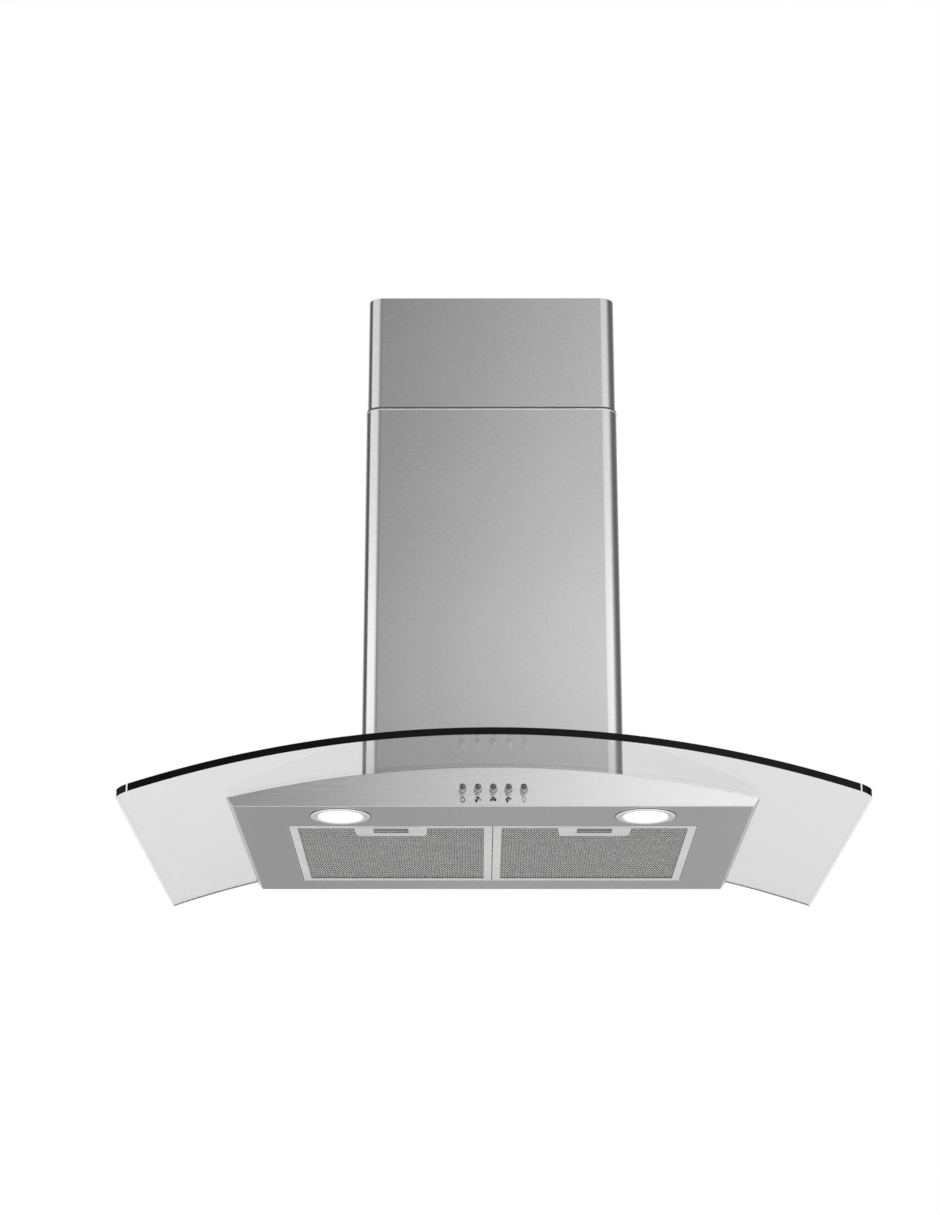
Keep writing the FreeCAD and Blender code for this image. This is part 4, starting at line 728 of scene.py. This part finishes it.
def turnedShape(shape, profile, place, out, steps, closed=False):
    out = Vector(out).normalized()
    side = Vector((1, 0, 0))
    up = out.cross(side).normalized()
    rings = []
    for radius, along in profile:
        centre = Vector(place) + out * along * millimetre
        if radius == 0:
            rings.append([shape.verts.new(centre)])
            continue
        rings.append([
            shape.verts.new(centre + (side * math.cos(2 * math.pi * step / steps)
                                      + up * math.sin(2 * math.pi * step / steps)) * radius * millimetre)
            for step in range(steps)
        ])
    pairs = list(zip(rings, rings[1:]))
    if closed:
        pairs.append((rings[-1], rings[0]))
    made = []
    for first, second in pairs:
        if len(first) == len(second):
            made += joinRings(shape, first, second)
            continue
        for step in range(steps):  # a ring that closes in a point
            after = (step + 1) % steps
            corners = (first[0], second[after], second[step]) if len(first) == 1 else (
                first[step], first[after], second[0])
            made.append(shape.faces.new(corners))
    return made


controlShape = {
    "names": ["off", "low", "medium", "high", "lamp"],
    "middle": 2, "pitch": 15.85, "depth": -389.61, "height": -182.2,
    "out": (0, -0.99697, 0.07776), "steps": 56,
    "cap": [(0, -1.0), (3.42, -1.0), (3.42, 5.2), (3.3, 5.7), (2.95, 6.2), (2.85, 6.9), (2.95, 7.6),
            (3.3, 8.1), (3.42, 8.6), (3.42, 10.3), (3.38, 10.8), (3.22, 11.3), (2.9, 11.75), (2.4, 12.1),
            (1.7, 12.4), (0.85, 12.58), (0, 12.64)],
    "endFrom": 10,               # the profile step at which the painted dark end starts, a painted reflection
    "stemHalf": 1.9, "stemFront": -1.0, "stemBack": -12.8, "capSharp": 40, "bezelSharp": 50,
    "bezel": [(3.5, 0.0), (4.4, 0.0), (4.4, 1.45), (4.33, 1.85), (4.12, 2.1), (3.85, 2.2), (3.62, 2.12),
              (3.5, 1.9)],
}


def controlAcross(index):
    return controlShape["pitch"] * (index - controlShape["middle"])


def controlPlace(index):
    return Vector((controlAcross(index), controlShape["depth"], controlShape["height"])) * millimetre


def buildButtons():
    c = controlShape
    out = Vector(c["out"]).normalized()
    side = Vector((1, 0, 0))
    up = out.cross(side)
    for index, name in enumerate(c["names"]):
        shape = bmesh.new()
        place = controlPlace(index)
        turned = turnedShape(shape, c["cap"], place, out, c["steps"])
        for face in turned[c["steps"] * c["endFrom"]:]:
            face.material_index = 1
        corners = []
        for along in (c["stemFront"], c["stemBack"]):
            corners.append([])
            for a, b in ((-1, -1), (1, -1), (1, 1), (-1, 1)):
                offset = out * along + side * a * c["stemHalf"] + up * b * c["stemHalf"]
                corners[-1].append(shape.verts.new(place + offset * millimetre))
        joinRings(shape, *corners)
        shape.faces.new(corners[0])
        shape.faces.new(corners[1])
        mesh = meshFrom("pushButton_" + name, shape, c["capSharp"])
        keepPiece("pushButton_" + name, mesh, ["buttonChrome", "buttonEndPaintedReflection"],
                  "button_" + name, ["button_" + name])
    shape = bmesh.new()
    for index in range(len(c["names"])):
        turnedShape(shape, c["bezel"], controlPlace(index), out, c["steps"], closed=True)
    mesh = meshFrom("buttonBezels", shape, c["bezelSharp"])
    keepPiece("buttonBezels", mesh, ["buttonChrome"], "hood", ["button_bezels"])


buildButtons()
print("the buttons are in")


# The rolled top edge of the lower cover, and a black strip between it and the upper cover, painted shade for
# the gap.
hemShape = {
    "half": 144.0, "front": -260.0, "back": -1.0, "corner": 17.0, "top": 305.0, "height": 1.5, "proud": 0.5,
    "steps": 10, "cornerSteps": 10, "sharp": 50,
    "gapShadeStrip": [(-0.1, 0.0), (-0.1, 2.2), (-0.4, 2.6), (-1.0, 2.6), (-1.2, 2.4), (-1.2, 0.0)],
}


def sweepRoundCover(name, section, finishName):
    h = hemShape
    path = [(h["half"], h["back"], 1.0, 0.0)]
    for side in (1, -1):
        for step in range(h["cornerSteps"] + 1):
            turn = math.pi / 2 * (step if side > 0 else h["cornerSteps"] - step) / h["cornerSteps"]
            outX, outY = side * math.cos(turn), -math.sin(turn)
            path.append((side * (h["half"] - h["corner"]) + h["corner"] * outX,
                         h["front"] + h["corner"] + h["corner"] * outY, outX, outY))
    path.append((-h["half"], h["back"], -1.0, 0.0))
    shape = bmesh.new()
    rings = [[
        shape.verts.new(Vector((x + outX * out, y + outY * out, h["top"] + up)) * millimetre)
        for out, up in section
    ] for x, y, outX, outY in path]
    for first, second in zip(rings, rings[1:]):
        joinRings(shape, first, second)
    shape.faces.new(rings[0])
    shape.faces.new(rings[-1])
    keepPiece(name, meshFrom(name, shape, h["sharp"]), [finishName], "hood")


def buildHem():
    h = hemShape
    turns = [math.pi * step / h["steps"] - math.pi / 2 for step in range(h["steps"] + 1)]
    # the rolled edge is real; its bright lamp-ring finish, brighter than the cover steel, is a painted
    # highlight along the joint
    sweepRoundCover("coverHem", [
        (h["proud"] * math.cos(turn), h["height"] / 2 * (math.sin(turn) - 1)) for turn in turns], "lampRing")
    sweepRoundCover("coverFelt", h["gapShadeStrip"], "blackFoamAndPaintedShade")


buildHem()
print("the hem is on the cover")


lampShape = {
    "places": [(-160.0, -350.9), (160.0, -350.9)],
    "height": -200.0,
    "steps": 96,
    "ring": [(23.95, -0.05), (31.45, -0.05), (31.3, -0.55), (30.7, -1.1), (29.8, -1.45), (28.9, -1.5),
             (26.2, -1.42), (25.0, -1.2), (24.3, -0.85), (23.95, -0.6)],
    # black rings at the outer and inner edges of the lamp ring: painted shade for the gaps
    "gapShadeRings": [[(31.2, -0.05), (32.0, -0.05), (32.0, -0.4), (31.2, -0.4)],
              [(23.5, -0.02), (24.2, -0.02), (24.2, -0.6), (23.5, -0.6)]],
    "lensRadius": 23.6, "lensDrop": 0.72, "lensRings": 9, "lensRim": -0.3,
    "ribLand": 0.985, "ribRise": 0.16, "ringSharp": 50, "lensSharp": 40,
}


def buildLamps():
    s = lampShape
    rings, lenses = bmesh.new(), bmesh.new()
    lens = [(0, 0.0), (s["lensRadius"], 0.0), (s["lensRadius"], s["lensRim"])]
    count = s["lensRings"]
    for index in range(count, 0, -1):
        radius = s["lensRadius"] * index / count
        lens.append((radius * s["ribLand"], -s["lensDrop"]))
        lens.append((radius - s["lensRadius"] / count * 0.5, -s["lensDrop"] + s["ribRise"]))
    lens[-1] = (0, -s["lensDrop"])
    for x, y in s["places"]:
        place = Vector((x, y, s["height"])) * millimetre
        turnedShape(rings, s["ring"], place, (0, 0, 1), s["steps"], closed=True)
        for gapShadeRing in s["gapShadeRings"]:
            for face in turnedShape(rings, gapShadeRing, place, (0, 0, 1), s["steps"], closed=True):
                face.material_index = 1
        turnedShape(lenses, lens, place, (0, 0, 1), s["steps"])
    mesh = meshFrom("lampRings", rings, s["ringSharp"])
    keepPiece("lampRings", mesh, ["lampRing", "blackFoamAndPaintedShade"], "hood", ["lamp_bezels"])
    mesh = meshFrom("lampLenses", lenses, s["lensSharp"])
    keepPiece("lampLenses", mesh, ["lens"], "hood", ["lamp_lenses"])


buildLamps()
print("the lamps are in")


# Printed marks under the buttons: ring, fans of three, four and five blades, and a lamp outline.
markShape = {
    "height": -192.8, "lean": 0.078, "front": -391.0, "leanFrom": -200.0, "thickness": 0.06, "size": 3.2,
    "ring": ((0.74, 1.0), (0.44, 0.70)), "ringPoints": 36,
    "blade": [(0.16, -0.10), (0.45, -0.30), (0.75, -0.42), (0.95, -0.20), (1.0, 0.12), (0.93, 0.42),
              (0.70, 0.40), (0.45, 0.16), (0.16, 0.08)],
    "bladeWidths": {3: 1.75, 4: 1.4, 5: 1.1}, "hub": 0.2, "hubPoints": 16,
    "bulb": (0.70, 0.50), "bulbLift": 0.30, "bulbFrom": -55, "bulbSweep": 290, "bulbSteps": 24,
    "necks": ([(-0.32, -0.70), (0.32, -0.70)], [(-0.16, -0.52), (0.16, -0.52)]),
    "base": [(-0.28, -0.80), (0.28, -0.80), (0.28, -0.96), (-0.28, -0.96)],
}


def ovalPoints(halfWidth, halfHeight, count):
    turns = [2 * math.pi * i / count for i in range(count)]
    return [(halfWidth * math.cos(turn), halfHeight * math.sin(turn)) for turn in turns]


def ringLoops():
    return [ovalPoints(*half, markShape["ringPoints"]) for half in markShape["ring"]]


def fanLoops(blades):
    s = markShape
    loops = []
    for index in range(blades):
        angle = 2 * math.pi * index / blades + math.pi / 2
        blade = [(x, y * s["bladeWidths"][blades]) for x, y in s["blade"]]
        loops.append([(x * math.cos(angle) - y * math.sin(angle), x * math.sin(angle) + y * math.cos(angle))
                      for x, y in blade])
    return loops + [ovalPoints(s["hub"], s["hub"], s["hubPoints"])]


def bulbLoops():
    s = markShape
    count = s["bulbSteps"]
    turns = [math.radians(s["bulbFrom"] + s["bulbSweep"] * i / count) for i in range(count + 1)]
    return [
        [(radius * math.cos(turn), s["bulbLift"] + radius * math.sin(turn)) for turn in turns] + neck
        for radius, neck in zip(s["bulb"], s["necks"])
    ] + [s["base"]]


def buildMark(name, loops, index, finishName):
    s = markShape
    curve = bpy.data.curves.new(name, "CURVE")
    curve.dimensions = "2D"
    curve.fill_mode = "BOTH"
    curve.extrude = s["thickness"] / 2 * millimetre
    for loop in loops:
        spline = curve.splines.new("POLY")
        spline.points.add(len(loop) - 1)
        spline.use_cyclic_u = True
        for point, (x, y) in zip(spline.points, loop):
            point.co = (x * s["size"] * millimetre, y * s["size"] * millimetre, 0, 1)
    work = bpy.data.objects.new(name + "Work", curve)
    scene.collection.objects.link(work)
    mesh = bakedMesh(name, work)
    bpy.data.objects.remove(work)
    lean = math.atan(s["lean"])
    depth = s["front"] + s["lean"] * (s["height"] - s["leanFrom"]) - s["thickness"] / 2
    place = Vector((controlAcross(index), depth, s["height"])) * millimetre
    mesh.transform(Matrix.Translation(place) @ Euler((math.pi / 2 - lean, 0, 0)).to_matrix().to_4x4())
    mesh.materials.clear()
    keepPiece(name, mesh, [finishName], "hood")


buildMark("markOff", ringLoops(), 0, "markPrint")
for place, (name, blades) in enumerate((("markLow", 3), ("markMedium", 4), ("markHigh", 5)), 1):
    buildMark(name, fanLoops(blades), place, "markPrint")
buildMark("markLamp", bulbLoops(), 4, "lampMarkPrint")
print("the marks are in")


# Filter mesh: rows of zigzag strands that meet in diamonds, laid over the pleats of the pack.
filterMesh = {
    "Width": 214.6, "Depth": 252.4, "Cell Width": 3.0, "Row Pitch": 4.7,
    "Strand Width": 0.8, "Strand Thickness": 0.3,
    "Pleat Pitch": 9.35, "Pleat Depth": 0.7, "Pack Lift": 0.75, "Pack Thickness": 0.5,
    "Latch Width": 44.8, "Latch Depth": 30.0,
}
filterPlace = {"x": 108.9, "y": -180.9, "z": -198.8}
packColumns, weldReach = 25, 0.001
filterFinishes = {"Wire Finish": "wire", "Pack Finish": "filterPackUndersideShade", "Top Finish": "filterPackTop"}


def buildFilterTree():
    tree = bpy.data.node_groups.new("pleatedMesh", "GeometryNodeTree")
    tree.is_modifier = True
    addSocket(tree, "Geometry", "INPUT", "Geometry")
    for label, value in filterMesh.items():
        addSocket(tree, label, "INPUT", "Float").default_value = value
    for label in filterFinishes:
        addSocket(tree, label, "INPUT", "Material")
    addSocket(tree, "Geometry", "OUTPUT", "Geometry")
    given = tree.nodes.new("NodeGroupInput").outputs
    result = tree.nodes.new("NodeGroupOutput").inputs

    def add(kind, feeds=None, **settings):
        return addNode(tree, kind, feeds, **settings).outputs

    def reckon(operation, first, second=0.0):
        return addMath(tree, operation, first, second)

    def half(value):
        return reckon("MULTIPLY", value, 0.5)

    def counted(length, pitch):
        return reckon("ROUND", reckon("DIVIDE", length, pitch))

    def along(axis, value):
        return add("ShaderNodeCombineXYZ", {axis: value})[0]

    def position():
        return add("ShaderNodeSeparateXYZ", {"Vector": add("GeometryNodeInputPosition")[0]})

    def fromFront(y):
        return reckon("ADD", y, half(given["Depth"]))

    def join(*parts):
        joined = addNode(tree, "GeometryNodeJoinGeometry")
        for part in parts:
            tree.links.new(part, joined.inputs[0])
        return joined.outputs[0]

    def marked(geometry, name, value):
        return add("GeometryNodeStoreNamedAttribute", {
            "Geometry": geometry, "Name": name, "Value": value}, data_type="BOOLEAN", domain="FACE")[0]

    def crimp(geometry, lift):
        fold = reckon("PINGPONG", reckon("DIVIDE", fromFront(position()["Y"]), given["Pleat Pitch"]), 0.5)
        rise = reckon("MULTIPLY", reckon("MULTIPLY", fold, 2.0), given["Pleat Depth"])
        return add("GeometryNodeSetPosition", {
            "Geometry": geometry, "Offset": along("Z", reckon("ADD", rise, lift))})[0]

    def clearOfLatch(geometry, domain):
        place = position()
        near = reckon("LESS_THAN", reckon("ABSOLUTE", place["X"]), half(given["Latch Width"]))
        front = reckon("LESS_THAN", place["Y"], reckon("SUBTRACT", given["Latch Depth"], half(given["Depth"])))
        return add("GeometryNodeDeleteGeometry", {
            "Geometry": geometry, "Selection": reckon("MULTIPLY", near, front)}, domain=domain)[0]

    # one zigzag strand, set in rows that are turned every other time
    line = add("GeometryNodeMeshLine", {
        "Count": 3, "Start Location": along("X", reckon("MULTIPLY", given["Cell Width"], -0.5)),
        "Offset": along("X", half(given["Cell Width"]))})[0]
    index = add("GeometryNodeInputIndex")[0]
    peak = reckon("SUBTRACT", reckon("MULTIPLY", reckon("MODULO", index, 2.0), 2.0), 1.0)
    strand = add("GeometryNodeSetPosition", {
        "Geometry": line, "Offset": along("Y", reckon("MULTIPLY", peak, half(given["Row Pitch"])))})[0]
    section = add("GeometryNodeCurvePrimitiveQuadrilateral", {
        "Width": given["Strand Width"], "Height": given["Strand Thickness"]})[0]
    rod = add("GeometryNodeCurveToMesh", {
        "Curve": add("GeometryNodeMeshToCurve", {"Mesh": strand})[0],
        "Profile Curve": section, "Fill Caps": True})[0]
    field = add("GeometryNodeMeshGrid", {
        "Size X": reckon("SUBTRACT", given["Width"], given["Cell Width"]),
        "Size Y": reckon("SUBTRACT", given["Depth"], given["Row Pitch"]),
        "Vertices X": counted(given["Width"], given["Cell Width"]),
        "Vertices Y": counted(given["Depth"], given["Row Pitch"])})[0]
    seats = clearOfLatch(field, "POINT")
    row = counted(fromFront(position()["Y"]), given["Row Pitch"])
    flip = reckon("MULTIPLY", reckon("FLOORED_MODULO", row, 2.0), math.pi)
    turned = add("FunctionNodeEulerToRotation", {"Euler": along("Z", flip)})[0]
    strands = add("GeometryNodeInstanceOnPoints", {"Points": seats, "Instance": rod, "Rotation": turned})[0]
    wires = crimp(add("GeometryNodeRealizeInstances", {"Geometry": strands})[0], 0.0)

    # the pleated pack over them, a closed sheet with a finish of its own on top
    folds = reckon("MULTIPLY", counted(given["Depth"], given["Pleat Pitch"]), 2.0)
    sheet = add("GeometryNodeMeshGrid", {
        "Size X": given["Width"], "Size Y": given["Depth"], "Vertices X": packColumns,
        "Vertices Y": reckon("ADD", folds, 1.0)})[0]
    bottom = crimp(clearOfLatch(sheet, "FACE"), given["Pack Lift"])
    thick = add("GeometryNodeExtrudeMesh", {
        "Mesh": bottom, "Individual": False, "Offset Scale": 1.0,
        "Offset": along("Z", given["Pack Thickness"])})
    raised = marked(thick["Mesh"], "onTop", thick["Top"])
    under = add("GeometryNodeFlipFaces", {"Mesh": bottom})[0]
    welded = add("GeometryNodeMergeByDistance", {"Geometry": join(raised, under), "Distance": weldReach})[0]
    both = join(marked(welded, "inPack", True), wires)
    whole = add("GeometryNodeRealizeInstances", {"Geometry": both})[0]
    shown = add("GeometryNodeSetMaterial", {"Geometry": whole, "Material": given["Wire Finish"]})[0]
    for label, mask in (("Pack Finish", "inPack"), ("Top Finish", "onTop")):
        chosen = add("GeometryNodeInputNamedAttribute", {"Name": mask}, data_type="BOOLEAN")[0]
        shown = add("GeometryNodeSetMaterial", {
            "Geometry": shown, "Selection": chosen, "Material": given[label]})[0]
    tree.links.new(shown, result["Geometry"])
    return tree


def buildFilterMeshes():
    tree = buildFilterTree()
    sockets = {item.name: item.identifier for item in tree.interface.items_tree if item.in_out == "INPUT"}
    work = bpy.data.objects.new("filterWork", bpy.data.meshes.new("filterWork"))
    scene.collection.objects.link(work)
    modifier = work.modifiers.new("pleatedMesh", "NODES")
    modifier.node_group = tree
    for label, value in filterMesh.items():
        modifier[sockets[label]] = float(value)
    for label, finishName in filterFinishes.items():
        modifier[sockets[label]] = finishes[finishName]
    for name, side in (("left", -1), ("right", 1)):
        mesh = bakedMesh("filterMesh_" + name, work)
        for mask in ("inPack", "onTop"):
            mesh.attributes.remove(mesh.attributes[mask])
        mesh.transform(Matrix.Scale(millimetre, 4))
        place = Vector((filterPlace["x"] * side, filterPlace["y"], filterPlace["z"])) * millimetre
        mesh.transform(Matrix.Translation(place))
        keepPiece("filterMesh_" + name, mesh, [],
                  "filter_" + name, ["filter_mesh_" + name])
        print("filter mesh", name, len(mesh.polygons), "faces")
    bpy.data.objects.remove(work)


buildFilterMeshes()
print("the filter meshes are in")


floorLook = {
    "centre": (0, -0.25, -1.05), "radius": 2.7, "solidTo": 1.3, "fadeTo": 0.98,  # metres, and of the radius
    "low": 0.78, "high": 0.83, "rough": (0.7, 0.8), "patches": 1.2, "steps": 96,
}


def makeFloor():
    look = floorLook
    shape = bmesh.new()
    bmesh.ops.create_circle(shape, cap_ends=True, segments=look["steps"], radius=look["radius"])
    bmesh.ops.translate(shape, verts=shape.verts, vec=look["centre"])
    mesh = meshFrom("studioFloor", shape, smooth=False)
    finish, tree, shader, place = startFinish("studioFloor", {"Metallic": 0.0})
    cloud = placeGroup(tree, handlingGroup, place, {"Patches": look["patches"]})
    addSkin(tree, shader, look, cloud["Mask"])
    away = addNode(tree, "ShaderNodeVectorMath", {
        0: place, 1: look["centre"]}, operation="DISTANCE").outputs["Value"]
    fade = addRange(tree, away, (look["solidTo"], look["radius"] * look["fadeTo"]), (1.0, 0.0), "SMOOTHSTEP")
    fromAbove = addMath(tree, "SUBTRACT", 1.0, addNode(tree, "ShaderNodeNewGeometry").outputs["Backfacing"])
    tree.links.new(addMath(tree, "MULTIPLY", fade, fromAbove), shader.inputs["Alpha"])
    mesh.materials.append(finish)
    floor = bpy.data.objects.new("studioFloor", mesh)
    floor.visible_glossy = False  # steel shows the level tone below instead, so it doesn't clip
    scene.collection.objects.link(floor)


makeFloor()
print("the floor is in")
